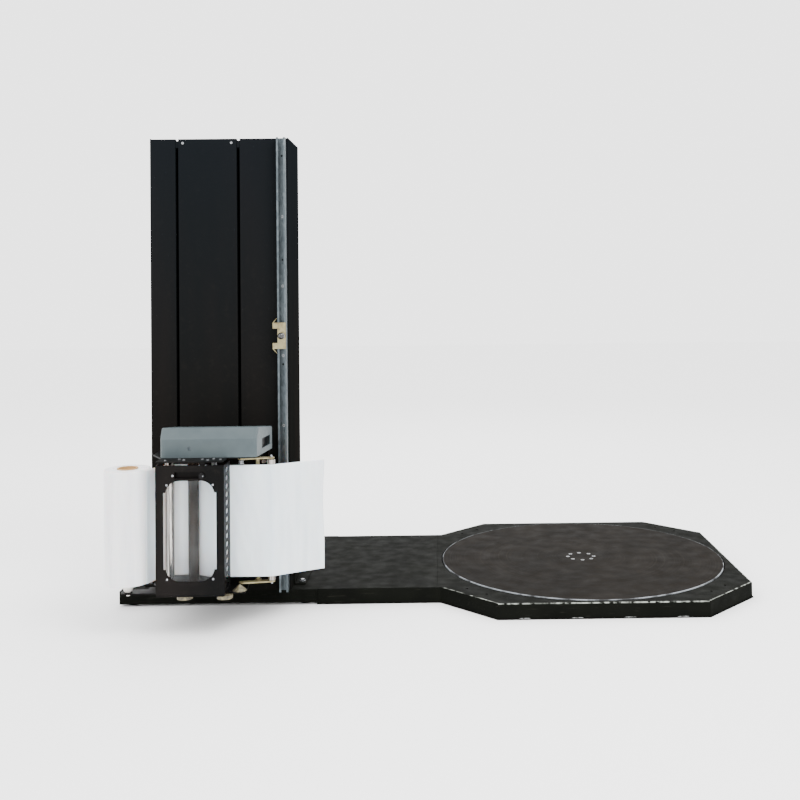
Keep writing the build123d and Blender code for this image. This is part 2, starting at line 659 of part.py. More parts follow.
# ---------------------------------------------------------------- dancer arm
arm_angle = degrees(asin((exit_y - pivot_y) / hypot(exit_x - pivot_x, exit_y - pivot_y)))
arm_length = hypot(exit_x - pivot_x, exit_y - pivot_y)
post_x, post_y = (pivot_x + exit_x) / 2, (pivot_y + exit_y) / 2 + 34
with BuildPart() as dancer_frame:
    for z in (arm_low, arm_high):
        with BuildSketch(Plane((0, 0, z))):
            with Locations(Location(((pivot_x + exit_x) / 2, (pivot_y + exit_y) / 2, 0), arm_angle)):
                SlotCenterToCenter(arm_length, 30)
            with Locations((post_x, post_y)):
                Circle(14)
            with Locations((post_x, post_y - 17)):
                Rectangle(28, 34)
            with Locations((pivot_x, pivot_y)):
                Circle(pin_radius + running_gap, mode=Mode.SUBTRACT)
        extrude(amount=arm_thickness)
    add(rod(post_x, post_y, arm_low, arm_high + arm_thickness, 8))
    add(rod(exit_x, exit_y, arm_low, arm_high + arm_thickness, pin_radius))
save("dancer_frame", dancer_frame)

exit_low, exit_high = 222.0, 770.0
with BuildPart() as exit_roller:
    add(rod(exit_x, exit_y, exit_low, exit_high, exit_radius, pin_radius + running_gap))
save("exit_roller", exit_roller)

# ------------------------------------------------------------- film and its roll
film_high = film_low + film_width
with BuildPart() as roll_core:
    add(rod(roll_x, roll_y, film_low - 3, film_high + 3, core_outer, core_inner))
save("roll_core", roll_core)

with BuildPart() as film_roll:
    add(rod(roll_x, roll_y, film_low, film_high, roll_radius, core_outer))
    rims = film_roll.edges().filter_by(GeomType.CIRCLE)
    fillet(rims.filter_by(lambda edge: edge.radius > core_outer + 1), 3)
save("film_roll", film_roll)

cone_low = frame_low_top + 1.0
with BuildPart() as roll_spindle:
    with BuildSketch(Plane((roll_x, roll_y, 0), x_dir=(1, 0, 0), z_dir=(0, -1, 0))):
        with BuildLine():
            Polyline((0, frame_low - 12), (7, frame_low - 12), (14, frame_low - 1),
                     (spindle_radius, frame_low - 1), (spindle_radius, cone_low), (17, cone_low),
                     (30, film_low - 12), (50, film_low - 9), (50, film_low - 3),
                     (core_inner - 0.1, film_low - 3), (core_inner - 0.1, film_low + 40),
                     (spindle_radius, film_low + 52), (spindle_radius, film_low + 330),
                     (core_inner - 0.1, film_low + 334), (core_inner - 0.1, film_low + 350),
                     (0, film_low + 354), close=True)
        make_face()
    revolve(axis=Axis((roll_x, roll_y, 0), (0, 0, 1)))
save("roll_spindle", roll_spindle)

film_grow = film_sheet / 2 + 0.4


def outer_tangent(a, b):
    """Where a line touches two circles (x, y, radius) on their left side, going a to b."""
    length = hypot(b[0] - a[0], b[1] - a[1])
    along = ((b[0] - a[0]) / length, (b[1] - a[1]) / length)
    lean = (a[2] - b[2]) / length
    rise = (1 - lean * lean) ** 0.5
    out = (along[0] * lean - along[1] * rise, along[1] * lean + along[0] * rise)
    return [(c[0] + c[2] * out[0], c[1] + c[2] * out[1]) for c in (a, b)]


def cross_tangent(a, b, side):
    """A line between two circles that it leaves on opposite sides; side +1 starts on the left."""
    length = hypot(b[0] - a[0], b[1] - a[1])
    along = ((b[0] - a[0]) / length, (b[1] - a[1]) / length)
    lean = (a[2] + b[2]) / length
    rise = side * (1 - lean * lean) ** 0.5
    out = (along[0] * lean - along[1] * rise, along[1] * lean + along[0] * rise)
    return (a[0] + a[2] * out[0], a[1] + a[2] * out[1]), (b[0] - b[2] * out[0], b[1] - b[2] * out[1])


def on_circle(circle, start, end, side):
    """The point halfway round a wrap, on the given side (+1 rear, -1 front)."""
    middle = ((start[0] + end[0]) / 2 - circle[0], (start[1] + end[1]) / 2 - circle[1])
    size = hypot(*middle)
    turn = side if middle[1] * side < 0 else 1
    return (circle[0] + turn * middle[0] / size * circle[2],
            circle[1] + abs(middle[1]) * side / size * circle[2])


def carriage_route(shift):
    """Draw the film's line from the roll to the dancer, moved to the rear by shift."""
    roll = (roll_x, roll_y, roll_radius + film_grow - shift)
    chrome = (chrome_x, roller_y, chrome_radius + film_grow + shift)
    rubber = (rubber_x, roller_y, rubber_radius + film_grow + shift)
    idler = (idler_x, idler_y, idler_radius + film_grow - shift)
    leave_roll, meet_chrome = cross_tangent(roll, chrome, -1)
    leave_chrome, meet_rubber = outer_tangent(chrome, rubber)
    leave_rubber, meet_idler = cross_tangent(rubber, idler, 1)
    leave_idler = (idler_x, idler_y - idler[2])
    end = (pivot_x - 1, leave_idler[1])
    Line(leave_roll, meet_chrome)
    ThreePointArc(meet_chrome, on_circle(chrome, meet_chrome, leave_chrome, 1), leave_chrome)
    Line(leave_chrome, meet_rubber)
    ThreePointArc(meet_rubber, on_circle(rubber, meet_rubber, leave_rubber, 1), leave_rubber)
    Line(leave_rubber, meet_idler)
    ThreePointArc(meet_idler, on_circle(idler, meet_idler, leave_idler, -1), leave_idler)
    Line(leave_idler, end)
    return leave_roll, end


def tail_route(shift):
    """Draw the film's line from the dancer's pivot round the exit roller to its loose end."""
    reach = exit_radius + film_grow - shift
    meet, halfway, leave = [(exit_x + reach * sin(turn), exit_y - reach * cos(turn))
                            for turn in (0, radians(tail_angle) / 2, radians(tail_angle))]
    start = (pivot_x + 1, meet[1])
    end = (leave[0] + tail_length * cos(radians(tail_angle)),
           leave[1] + tail_length * sin(radians(tail_angle)))
    Line(start, meet)
    ThreePointArc(meet, halfway, leave)
    Line(leave, end)
    return start, end


for name, route in (("film_web", carriage_route), ("film_tail", tail_route)):
    with BuildPart() as film:
        with BuildSketch(Plane.XY.offset(film_low)):
            with BuildLine():
                rear_start, rear_end = route(film_sheet / 2)
                front_start, front_end = route(-film_sheet / 2)
                Line(rear_start, front_start)
                Line(rear_end, front_end)
            make_face()
        extrude(amount=film_width)
    save(name, film)

# ------------------------------------------------------------ height stop and switch
cam_middle = (cam_low + cam_high) / 2
cam_face = rail_front - 0.3
tab = 29.0
ramp = 22.0
with BuildPart() as height_stop_cam:
    block((rail_left + 1, rail_right - 2), (cam_face - sheet, cam_face), (cam_low, cam_high))
    block((rail_left + 11, rail_right - 11), (cam_face, rail_front + 6), (cam_middle - 14, cam_middle + 14))
    block((rail_left + 5, rail_right - 5), (rail_front + rail_wall + 0.3, rail_front + 9),
          (cam_middle - 20, cam_middle + 20))
    for end, way in ((cam_high, 1), (cam_low, -1)):
        block((rail_left - cam_reach, rail_left + 2), (cam_face - sheet, cam_face),
              sorted((end, end - way * tab)))
        with BuildSketch(Plane((0, cam_face + 12, 0), x_dir=(1, 0, 0), z_dir=(0, -1, 0))):
            with BuildLine():
                Polyline((rail_left - 1, end + way * ramp), (rail_left - 3, end + way * ramp),
                         (rail_left - cam_reach, end), (rail_left - cam_reach, end - way * tab),
                         (rail_left - cam_reach + sheet, end - way * tab),
                         (rail_left - cam_reach + sheet, end - way * 2), close=True)
            make_face()
        extrude(amount=12 + sheet)
save("height_stop_cam", height_stop_cam)

knob_y = cam_face - sheet - 0.3
with BuildPart() as cam_knob:
    with Locations(((rail_left + rail_right) / 2, knob_y - cam_knob_radius - 3, cam_middle)):
        Sphere(cam_knob_radius)
    with BuildSketch(Plane(((rail_left + rail_right) / 2, knob_y, cam_middle), x_dir=(1, 0, 0),
                           z_dir=(0, -1, 0))):
        Circle(8)
    extrude(amount=cam_knob_radius)
save("cam_knob", cam_knob)

switch_x, switch_z = carriage_right - 25, 700.0
with BuildPart() as limit_switch:
    block((switch_x - 15, switch_x + 15), (back_plate_y - 34, back_plate_y),
          (switch_z - 35, switch_z + 35))
    with Locations((switch_x, back_plate_y - 36, switch_z + 20)):
        Cylinder(5, 14, rotation=(90, 0, 0))
save("limit_switch", limit_switch)

lever_y = back_plate_y - 44.0
with BuildPart() as switch_lever:
    with BuildSketch(Plane((switch_x, lever_y - 3, switch_z + 20), x_dir=(1, 0, 0),
                           z_dir=(0, -1, 0))):
        Circle(9)
        with Locations((14, 0)):
            Rectangle(28, 8)
        with Locations((28, 0)):
            Circle(8)
    extrude(amount=3)
save("switch_lever", switch_lever)

# ------------------------------------------------------------------ control box
box_rear = mast_back + box_depth
button_z = box_high - 90.0
button_x = (box_left + 80, box_left + 130)
stop_x, main_x = box_left + 200, box_left + 275
button_radius, stop_radius = 12.0, 20.0
stem_radius, stem_clear = 6.0, 6.4
control_places = [(x, button_z) for x in (*button_x, stop_x, main_x)]
with BuildPart() as control_box:
    block((box_left, box_right), (mast_back, box_rear), (box_low, box_high))
    fillet(control_box.edges().filter_by(Axis.Y), 8)
    fillet(control_box.edges().group_by(Axis.Y)[-1], 4)
    offset(amount=-2.0, openings=control_box.faces().sort_by(Axis.Y)[0])
    with BuildSketch(Plane((0, box_rear - 4, 0), x_dir=(1, 0, 0), z_dir=(0, -1, 0))):
        with Locations(control_places):
            Circle(stem_clear)
    extrude(amount=-8, mode=Mode.SUBTRACT)
    for x, z in control_places:
        with BuildSketch(Plane((x, box_rear, z), x_dir=(1, 0, 0), z_dir=(0, -1, 0))):
            Circle(16)
            Circle(button_radius + 0.4, mode=Mode.SUBTRACT)
        extrude(amount=-3)
    with Locations((box_left + 60, mast_back + 60, box_low - 8)):
        Cylinder(12, 24)
save("control_box", control_box)

for name, x, radius, height in (("start_button", button_x[0], button_radius, 7.0),
                                ("stop_button", button_x[1], button_radius, 7.0),
                                ("emergency_stop", stop_x, stop_radius, 22.0)):
    with BuildPart() as button:
        foot = 5.0 if radius == button_radius else 10.0
        with BuildSketch(Plane((x, box_rear - 8, button_z), x_dir=(1, 0, 0), z_dir=(0, -1, 0))):
            Circle(stem_radius)
        extrude(amount=-(8 + foot + 2))
        with BuildSketch(Plane((x, box_rear + foot, button_z), x_dir=(1, 0, 0), z_dir=(0, -1, 0))):
            Circle(radius)
        extrude(amount=-height)
        fillet(button.edges().group_by(Axis.Y)[-1], 2)
    save(name, button)

with BuildPart() as main_switch:
    with BuildSketch(Plane((main_x, box_rear - 8, button_z), x_dir=(1, 0, 0), z_dir=(0, -1, 0))):
        Circle(stem_radius)
    extrude(amount=-13)
    with BuildSketch(Plane((main_x, box_rear + 3.5, button_z), x_dir=(1, 0, 0), z_dir=(0, -1, 0))):
        Circle(20)
    extrude(amount=-6)
    with BuildSketch(Plane((main_x, box_rear + 9.5, button_z), x_dir=(1, 0, 0), z_dir=(0, -1, 0))):
        SlotOverall(36, 11, rotation=90)
    extrude(amount=-12)
save("main_switch", main_switch)
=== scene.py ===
# %% [markdown]
# # A turntable pallet wrapper
# A pallet wrapper turns a load on a low disc while a carriage climbs a mast and winds stretch film
# round it. The steel, the rollers and everything that moves arrive as a finished model in metres.
# This lesson adds what the eye looks for: paint, zinc and rubber, the film itself, and small parts.

# %% Load the machine
import json
from math import cos, pi, radians, sin

import bmesh
import bpy
import numpy as np
from mathutils import Matrix, Vector


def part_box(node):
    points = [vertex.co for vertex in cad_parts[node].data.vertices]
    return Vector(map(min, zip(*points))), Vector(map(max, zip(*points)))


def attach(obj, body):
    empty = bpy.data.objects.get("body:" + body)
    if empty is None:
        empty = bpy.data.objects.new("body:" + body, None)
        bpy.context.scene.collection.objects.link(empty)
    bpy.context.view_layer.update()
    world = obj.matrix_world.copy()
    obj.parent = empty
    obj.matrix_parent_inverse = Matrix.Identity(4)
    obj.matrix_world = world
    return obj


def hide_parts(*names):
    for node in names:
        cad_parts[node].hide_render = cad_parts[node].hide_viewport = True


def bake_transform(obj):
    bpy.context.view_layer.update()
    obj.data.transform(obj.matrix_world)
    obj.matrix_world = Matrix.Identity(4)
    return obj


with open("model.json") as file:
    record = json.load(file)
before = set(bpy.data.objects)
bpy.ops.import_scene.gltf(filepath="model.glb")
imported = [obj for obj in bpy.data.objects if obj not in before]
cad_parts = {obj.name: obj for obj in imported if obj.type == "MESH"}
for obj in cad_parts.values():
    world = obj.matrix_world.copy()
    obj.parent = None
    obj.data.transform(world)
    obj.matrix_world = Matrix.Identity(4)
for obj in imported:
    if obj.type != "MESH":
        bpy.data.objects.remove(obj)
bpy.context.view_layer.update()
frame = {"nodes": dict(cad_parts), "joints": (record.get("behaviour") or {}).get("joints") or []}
nodes = frame["nodes"]
MM = 0.001

# %% [markdown]
# ## Camera and light
# The camera stands at head height, far enough back that the mast's edges stay upright. A lens shift
# frames the low base without tilting the camera, as an architect's camera does.

# %% Camera
camera_data = bpy.data.cameras.new("camera")
camera_data.lens = 45.24
camera_data.sensor_width = 36.0
camera_data.shift_x = -0.061
camera_data.shift_y = -0.1655
camera = bpy.data.objects.new("camera", camera_data)
bpy.context.scene.collection.objects.link(camera)
camera.location = (-0.7487, -5.4795, 1.5692)
camera.rotation_euler = (pi / 2 + 0.0154, 0.0103, -0.0086)
bpy.context.scene.camera = camera
print("camera", tuple(round(value, 2) for value in camera.location))


# %% Light and floor
def hex_linear(code):
    """An sRGB hex colour as linear RGBA."""
    channels = [int(code[place:place + 2], 16) / 255 for place in (1, 3, 5)]
    return tuple(c / 12.92 if c <= 0.04045 else ((c + 0.055) / 1.055) ** 2.4 for c in channels) + (1.0,)


def soft_light(name, place, aim, size, power):
    """A square studio light that points at a place."""
    data = bpy.data.lights.new(name, "AREA")
    data.shape = "SQUARE"
    data.size = size
    data.energy = power
    light = bpy.data.objects.new(name, data)
    light.location = place
    light.rotation_euler = (Vector(aim) - Vector(place)).to_track_quat("-Z", "Y").to_euler()
    bpy.context.scene.collection.objects.link(light)


machine_middle = (-0.8, -0.2, 0.6)
soft_light("key light", (1.2, -3.6, 5.2), machine_middle, 2.6, 330)
soft_light("fill light", (-5.2, -3.2, 3.4), machine_middle, 3.0, 90)
soft_light("back light", (-0.5, 4.5, 4.5), machine_middle, 3.5, 120)

world = bpy.data.worlds.new("pale room")
bpy.context.scene.world = world
world.use_nodes = True
world.node_tree.nodes["Background"].inputs["Color"].default_value = hex_linear("#f6f6f6")
world.node_tree.nodes["Background"].inputs["Strength"].default_value = 3.3
print("three soft lights and a pale room")


# %% [markdown]
# ## How the finishes are made
# Every finish is a node tree that starts from Object coordinates, which are metres on these pieces,
# so a pattern's scale can be worked out from its real size in millimetres. One function adds any node.
# Most finishes are layers: a base colour, then other colours painted over it in noisy blotches.

# %% Node helpers
def add_node(tree, kind, inputs=(), **settings):
    """Add one node. An input takes a value, a colour code, or the node or socket that feeds it."""
    node = tree.nodes.new(kind)
    for name, value in settings.items():
        setattr(node, name, value)
    for socket, value in dict(inputs).items():
        if isinstance(value, bpy.types.Node):
            value = next(output for output in value.outputs if output.enabled)
        if isinstance(value, bpy.types.NodeSocket):
            tree.links.new(value, node.inputs[socket])
        else:
            coded = isinstance(value, str) and value.startswith("#")
            node.inputs[socket].default_value = hex_linear(value) if coded else value
    return node


def object_place(tree, stretch=(1, 1, 1), turn=(0, 0, 0)):
    """Object coordinates, with an axis squeezed where its stretch is under 1."""
    metres = add_node(tree, "ShaderNodeTexCoord").outputs["Object"]
    return add_node(tree, "ShaderNodeMapping", {"Vector": metres, "Scale": stretch, "Rotation": turn})


def blotches(tree, size_mm, low, high, top=1.0, foot=0.0, detail=3.0, **placing):
    """Noise about size_mm across, spread so that its level low gives foot and its level high gives top."""
    noise = add_node(tree, "ShaderNodeTexNoise", {"Vector": object_place(tree, **placing),
                                                  "Scale": 1000 / size_mm, "Detail": detail})
    return add_node(tree, "ShaderNodeMapRange", {"Value": noise, "From Min": low, "From Max": high,
                                                 "To Min": foot, "To Max": top})


def start_finish(name, colour, roughness, layers=(), metallic=0.0, **sockets):
    """A finish with constant values and painted layers of (colour, blotch size, low, high, options)."""
    material = bpy.data.materials.new(name)
    material.use_nodes = True
    material.diffuse_color = hex_linear(colour)
    tree = material.node_tree
    shader = tree.nodes["Principled BSDF"]
    values = {"Base Color": hex_linear(colour), "Roughness": roughness, "Metallic": metallic}
    values.update({socket.replace("_", " "): value for socket, value in sockets.items()})
    for socket, value in values.items():
        shader.inputs[socket].default_value = value
    paint = colour
    for over, size_mm, low, high, options in layers:
        where = blotches(tree, size_mm, low, high, **options)
        paint = add_node(tree, "ShaderNodeMix", {"Factor": where, 6: paint, 7: over}, data_type="RGBA")
    return material, tree, shader, paint


def end_finish(tree, shader, paint, roughness, relief, strength, depth_mm):
    """Feed the paint, the roughness pattern and the relief to the shader."""
    bump = add_node(tree, "ShaderNodeBump", {"Height": relief, "Strength": strength,
                                             "Distance": depth_mm * MM})
    tree.links.new(paint.outputs[2], shader.inputs["Base Color"])
    tree.links.new(roughness.outputs[0], shader.inputs["Roughness"])
    tree.links.new(bump.outputs["Normal"], shader.inputs["Normal"])


print("node helpers ready")

# %% [markdown]
# ## Painted steel
# The mast is powder coated: a near-black satin skin with the faint orange peel of a melted powder.
# The base is brushed or sprayed enamel that people walk on, so it is duller, dusty, and scuffed pale.


# %% Black powder coat
def make_powder_coat(name, base, shine):
    """Near-black satin polyester powder; its peel is about 3 mm across and very shallow."""
    tall = {"stretch": (1, 1, 0.12)}
    layers = (("#191513", 260, 0.45, 0.72, {**tall, "top": 0.6}), ("#221f1b", 35, 0.56, 0.8, {"top": 0.2}))
    material, tree, shader, paint = start_finish(name, base, 0.4, layers, Specular_IOR_Level=shine)
    height = add_node(tree, "ShaderNodeSeparateXYZ", {0: object_place(tree)}).outputs["Z"]
    upper = add_node(tree, "ShaderNodeMapRange", {"Value": height, "From Min": 0.8, "From Max": 2.3,
                                                  "To Max": 0.8})
    paint = add_node(tree, "ShaderNodeMix", {"Factor": upper, 6: paint, 7: "#0f1215"}, data_type="RGBA")
    rough = blotches(tree, 90, 0.3, 0.75, foot=0.34, top=0.52, **tall)
    end_finish(tree, shader, paint, rough, blotches(tree, 3.0, 0, 1), 0.25, 0.15)
    return material


mast_coat = make_powder_coat("mast powder coat", "#10100f", 0.0)
powder_coat = make_powder_coat("carriage powder coat", "#060606", 0.05)
print(mast_coat.name, powder_coat.name)


# %% Floor enamel with wear
def edge_nicks(tree):
    """Patchy bare steel within 5 mm of the turntable pan's eight outer edges, near the top."""
    low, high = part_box("turntable_surround")
    flats, slants = high.x, (2 * high.x - pan_corner) / 2 ** 0.5
    size = add_node(tree, "ShaderNodeVectorMath", {0: object_place(tree)}, operation="ABSOLUTE")
    parts = add_node(tree, "ShaderNodeSeparateXYZ", {0: size})
    wide = add_node(tree, "ShaderNodeMath", {0: parts.outputs["X"], 1: parts.outputs["Y"]},
                    operation="MAXIMUM")
    slant = add_node(tree, "ShaderNodeVectorMath", {0: size, 1: (2 ** -0.5, 2 ** -0.5, 0)},
                     operation="DOT_PRODUCT").outputs["Value"]
    slant = add_node(tree, "ShaderNodeMath", {0: slant, 1: flats - slants}, operation="ADD")
    reach = add_node(tree, "ShaderNodeMath", {0: wide, 1: slant}, operation="MAXIMUM")
    rim = add_node(tree, "ShaderNodeMath", {0: reach, 1: flats - 1.5 * MM, 2: 3.5 * MM}, operation="COMPARE")
    top = add_node(tree, "ShaderNodeMapRange", {"Value": parts.outputs["Z"], "From Min": high.z - 6 * MM,
                                                "From Max": high.z - 3 * MM})
    bare = add_node(tree, "ShaderNodeMath", {0: rim, 1: top}, operation="MULTIPLY")
    raw = add_node(tree, "ShaderNodeSeparateXYZ", {0: object_place(tree)}).outputs["X"]
    off_bridge = add_node(tree, "ShaderNodeMapRange", {"Value": raw, "From Min": 0.02 - flats,
                                                       "From Max": 0.03 - flats})
    for worn in (off_bridge, blotches(tree, 25, 0.42, 0.56), blotches(tree, 160, 0.34, 0.5, foot=0.25)):
        bare = add_node(tree, "ShaderNodeMath", {0: bare, 1: worn}, operation="MULTIPLY")
    return bare


def make_floor_enamel():
    """Dark enamel on a walked-on deck: dust, long scuffs, and bare nicks on the outer edges."""
    layers = (("#0f100d", 180, 0.35, 0.7, {"detail": 5}),
              ("#34332e", 6, 0.66, 0.8, {"stretch": (0.06, 1, 1), "turn": (0, 0, 0.5), "top": 0.6}),
              ("#34332e", 5, 0.68, 0.82, {"stretch": (1, 0.05, 1), "turn": (0, 0, -0.25), "top": 0.6}))
    material, tree, shader, paint = start_finish("floor enamel", "#0b0c0a", 0.6, layers,
                                                 Specular_IOR_Level=0.01)
    paint = add_node(tree, "ShaderNodeMix", {"Factor": edge_nicks(tree), 6: paint, 7: "#8f938c"},
                     data_type="RGBA")
    end_finish(tree, shader, paint, blotches(tree, 60, 0.3, 0.7, foot=0.5, top=0.7),
               blotches(tree, 4.0, 0, 1), 0.3, 0.2)
    return material


pan_corner = 288 * MM
floor_enamel = make_floor_enamel()
print(floor_enamel.name)


# %% Turntable enamel
def make_table_enamel():
    """The disc's paint: rings rubbed by turned pallets, and a rim worn to steel in places."""
    layers = (("#14110e", 220, 0.35, 0.7, {"detail": 5}), ("#2c2822", 40, 0.55, 0.8, {"top": 0.35}))
    material, tree, shader, paint = start_finish("turntable enamel", "#0d0b09", 0.6, layers,
                                                 Specular_IOR_Level=0.01)
    flat = add_node(tree, "ShaderNodeVectorMath", {0: object_place(tree), 1: (1, 1, 0)}, operation="MULTIPLY")
    radius = add_node(tree, "ShaderNodeVectorMath", {0: flat}, operation="LENGTH").outputs["Value"]
    rings = add_node(tree, "ShaderNodeTexNoise", {"W": radius, "Scale": 180.0, "Detail": 4.0},
                     noise_dimensions="1D")
    rubbed = add_node(tree, "ShaderNodeMapRange", {"Value": rings, "From Min": 0.5, "From Max": 0.8,
                                                   "To Max": 0.3})
    paint = add_node(tree, "ShaderNodeMix", {"Factor": rubbed, 6: paint, 7: "#332f28"}, data_type="RGBA")
    rim = add_node(tree, "ShaderNodeMapRange", {"Value": radius, "From Min": 0.7455, "From Max": 0.7475})
    worn = add_node(tree, "ShaderNodeMath", {0: rim, 1: blotches(tree, 60, 0.38, 0.6, foot=0.15)},
                    operation="MULTIPLY")
    paint = add_node(tree, "ShaderNodeMix", {"Factor": worn, 6: paint, 7: "#85898d"}, data_type="RGBA")
    end_finish(tree, shader, paint, blotches(tree, 80, 0.3, 0.7, foot=0.5, top=0.66),
               blotches(tree, 5.0, 0, 1), 0.25, 0.2)
    return material


table_enamel = make_table_enamel()
print(table_enamel.name)

# %% [markdown]
# ## Bare and plated metals
# Zinc from a hot bath freezes in flat crystals, so galvanised steel shows pale patches about 10 mm
# wide. Electroplated zinc passivated yellow is smooth, with a faint rainbow of straw and green. Hard
# chrome is ground and polished, so it is nearly a mirror with fine lines along the roller.


# %% Zinc, chrome and steel
def make_galvanised():
    """Hot-dip zinc: spangle cells of about 9 mm in two greys, blue-white and dull."""
    material, tree, shader, _ = start_finish("galvanised steel", "#4d5458", 0.42, metallic=0.7)
    cells = add_node(tree, "ShaderNodeTexVoronoi", {"Vector": object_place(tree, stretch=(1, 1, 0.4)),
                                                    "Scale": 1000 / 9.0}).outputs["Color"]
    tone = add_node(tree, "ShaderNodeSeparateColor", {0: cells})
    paint = add_node(tree, "ShaderNodeMix", {"Factor": tone, 6: "#41494d", 7: "#5c6468"}, data_type="RGBA")
    dull = blotches(tree, 60, 0.35, 0.7, top=0.6, stretch=(1, 1, 0.15))
    paint = add_node(tree, "ShaderNodeMix", {"Factor": dull, 6: paint, 7: "#2f373b"}, data_type="RGBA")
    end_finish(tree, shader, paint, blotches(tree, 12, 0.3, 0.7, foot=0.34, top=0.5), tone, 0.1, 0.05)
    return material


def make_plain(name, colour, roughness, layers, grain_mm, depth_mm, stretch=(1, 1, 1), **values):
    """A finish that is only layers, with a roughness that wanders and an even grain."""
    material, tree, shader, paint = start_finish(name, colour, roughness, layers, **values)
    rough = blotches(tree, 6 * grain_mm, 0.3, 0.7, foot=roughness - 0.05, top=roughness + 0.07,
                     stretch=stretch)
    end_finish(tree, shader, paint, rough, blotches(tree, grain_mm, 0, 1, stretch=stretch), 0.2, depth_mm)
    return material


galvanised = make_galvanised()
yellow_zinc = make_plain("yellow passivated zinc", "#8f8767", 0.36,
                         (("#6b5f44", 25, 0.35, 0.68, {}), ("#74724f", 40, 0.5, 0.75, {"top": 0.5})),
                         3.0, 0.03, metallic=0.7)
metals = {"ground steel": ("#85878a", "#626466", 0.34, 6, (1, 1, 0.1), 0.95),
          "hard chrome": ("#b5b1ac", "#5a5149", 0.16, 9, (1, 1, 0.05), 1.0),
          "bright zinc plate": ("#9b9d9f", "#6b6e71", 0.27, 3, (1, 1, 1), 0.95),
          "oiled chain steel": ("#5a5550", "#2f2b28", 0.4, 4, (1, 1, 1), 0.8),
          "worn weld": ("#8a8c8b", "#3a3a38", 0.42, 14, (1, 1, 1), 0.8),
          "aged yellow zinc": ("#716a52", "#46423a", 0.5, 12, (1, 1, 1), 0.6)}
ground_steel, hard_chrome, bright_zinc, oiled_steel, worn_weld, aged_zinc = (
    make_plain(name, light, rough, ((dark, grain, 0.4, 0.62, {"stretch": stretch}),), grain, 0.03,
               stretch, metallic=metallic)
    for name, (light, dark, rough, grain, stretch, metallic) in metals.items())
print(galvanised.name, yellow_zinc.name, *metals)

# %% [markdown]
# ## Plastics, rubber and card
# The carriage's hood is vacuum-formed ABS with a fine grain from its tool, so it is matt and even.
# Rubber on the stretch roller is ground, then polished in bands by the film. The core is spiral-wound
# card, with a seam that climbs at about 30 degrees.

# %% Moulded plastics and enamels
plastics = {"grey ABS": ("#434c4e", "#3b4447", 0.45, 2.5, 0.12, {"Specular_IOR_Level": 0.2}),
            "black nylon": ("#080809", "#0d0d0f", 0.4, 2.0, 0.08, {"Specular_IOR_Level": 0.12}),
            "black phenolic": ("#060607", "#0a0a0d", 0.1, 6.0, 0.02, {"Coat_Weight": 0.5}),
            "white nylon": ("#dcdad4", "#c9c6bd", 0.42, 3.0, 0.05, {}),
            "red polycarbonate": ("#b3120d", "#990e0a", 0.28, 4.0, 0.03, {}),
            "green polycarbonate": ("#0f7a2c", "#0c6a26", 0.28, 4.0, 0.03, {}),
            "blue-grey casting enamel": ("#57636a", "#48535a", 0.45, 5.0, 0.3, {}),
            "light grey enamel": ("#b9bbb6", "#acaea9", 0.5, 1.6, 0.12, {}),
            "neoprene belt": ("#101012", "#18181a", 0.55, 2.0, 0.2, {"Specular_IOR_Level": 0.2})}
(hood_plastic, black_plastic, ball_plastic, white_nylon, red_plastic, green_plastic, motor_enamel,
 box_enamel, belt_rubber) = (
    make_plain(name, light, rough, ((dark, 110, 0.35, 0.7, {}),), grain, depth, **values)
    for name, (light, dark, rough, grain, depth, values) in plastics.items())
print(*plastics, sep=", ")


# %% Rubber and card
def make_card():
    """Spiral-wound kraft card: a 90 mm strip whose seam climbs round the tube."""
    layers = (("#99744a", 4, 0.35, 0.7, {"detail": 5}),)
    material, tree, shader, paint = start_finish("kraft card", "#b8925f", 0.85, layers)
    seam = add_node(tree, "ShaderNodeTexWave",
                    {"Vector": object_place(tree, turn=(0.0, 0.52, 0.0)), "Scale": 1000 / 90 / 3.2,
                     "Distortion": 1.0}, bands_direction="Z").outputs["Fac"]
    joint = add_node(tree, "ShaderNodeMapRange", {"Value": seam, "From Min": 0.93, "From Max": 0.98})
    paint = add_node(tree, "ShaderNodeMix", {"Factor": joint, 6: paint, 7: "#6f5233"}, data_type="RGBA")
    end_finish(tree, shader, paint, blotches(tree, 20, 0.3, 0.7, foot=0.8, top=0.9),
               blotches(tree, 4, 0, 1, detail=5), 0.4, 0.2)
    return material


along = (1, 1, 0.04)
roller_rubber = make_plain("roller rubber", "#16110d", 0.5,
                           (("#2c231c", 7, 0.42, 0.62, {"stretch": along}),
                            ("#130f0c", 60, 0.45, 0.7, {"stretch": (1, 1, 0.5), "top": 0.6})), 7, 0.1,
                           along, Specular_IOR_Level=0.05)
card = make_card()
print(roller_rubber.name, card.name)

# %% [markdown]
# ## Film and window
# Stretch film is clear, but a wound roll of it is white: light is lost between hundreds of layers. The
# single web in front of a dark mast still reads white on this machine because it is an opaque grade,
# with a little light passing through. Greyer upright streaks in its colour are painted shade, standing in
# for the soft shading round the roll.

# %% Stretch film and polycarbonate
# Its first layer, #cbccd0 in upright streaks, is painted shade for the roll's soft shading.
film = make_plain("stretch film", "#e0e0e1", 0.3,
                  (("#cbccd0", 40, 0.42, 0.75, {"stretch": (1, 1, 0.12), "top": 0.7}),
                   ("#dcdddf", 9, 0.5, 0.8, {"stretch": (0.05, 0.05, 1), "top": 0.5})), 12, 0.02,
                  (1, 1, 0.2), Subsurface_Weight=0.25, Subsurface_Scale=0.012, Specular_IOR_Level=0.4)


def make_pane():
    """Clear polycarbonate sheet: almost nothing but its reflections, with a faint haze of dust."""
    material, tree, shader, _ = start_finish("clear polycarbonate", "#d9dee0", 0.06, IOR=1.585)
    tree.links.new(blotches(tree, 90, 0.35, 0.75, foot=0.01, top=0.03).outputs[0], shader.inputs["Alpha"])
    tree.links.new(blotches(tree, 20, 0.3, 0.7, foot=0.04, top=0.14).outputs[0], shader.inputs["Roughness"])
    return material


pane = make_pane()
print(film.name, pane.name)

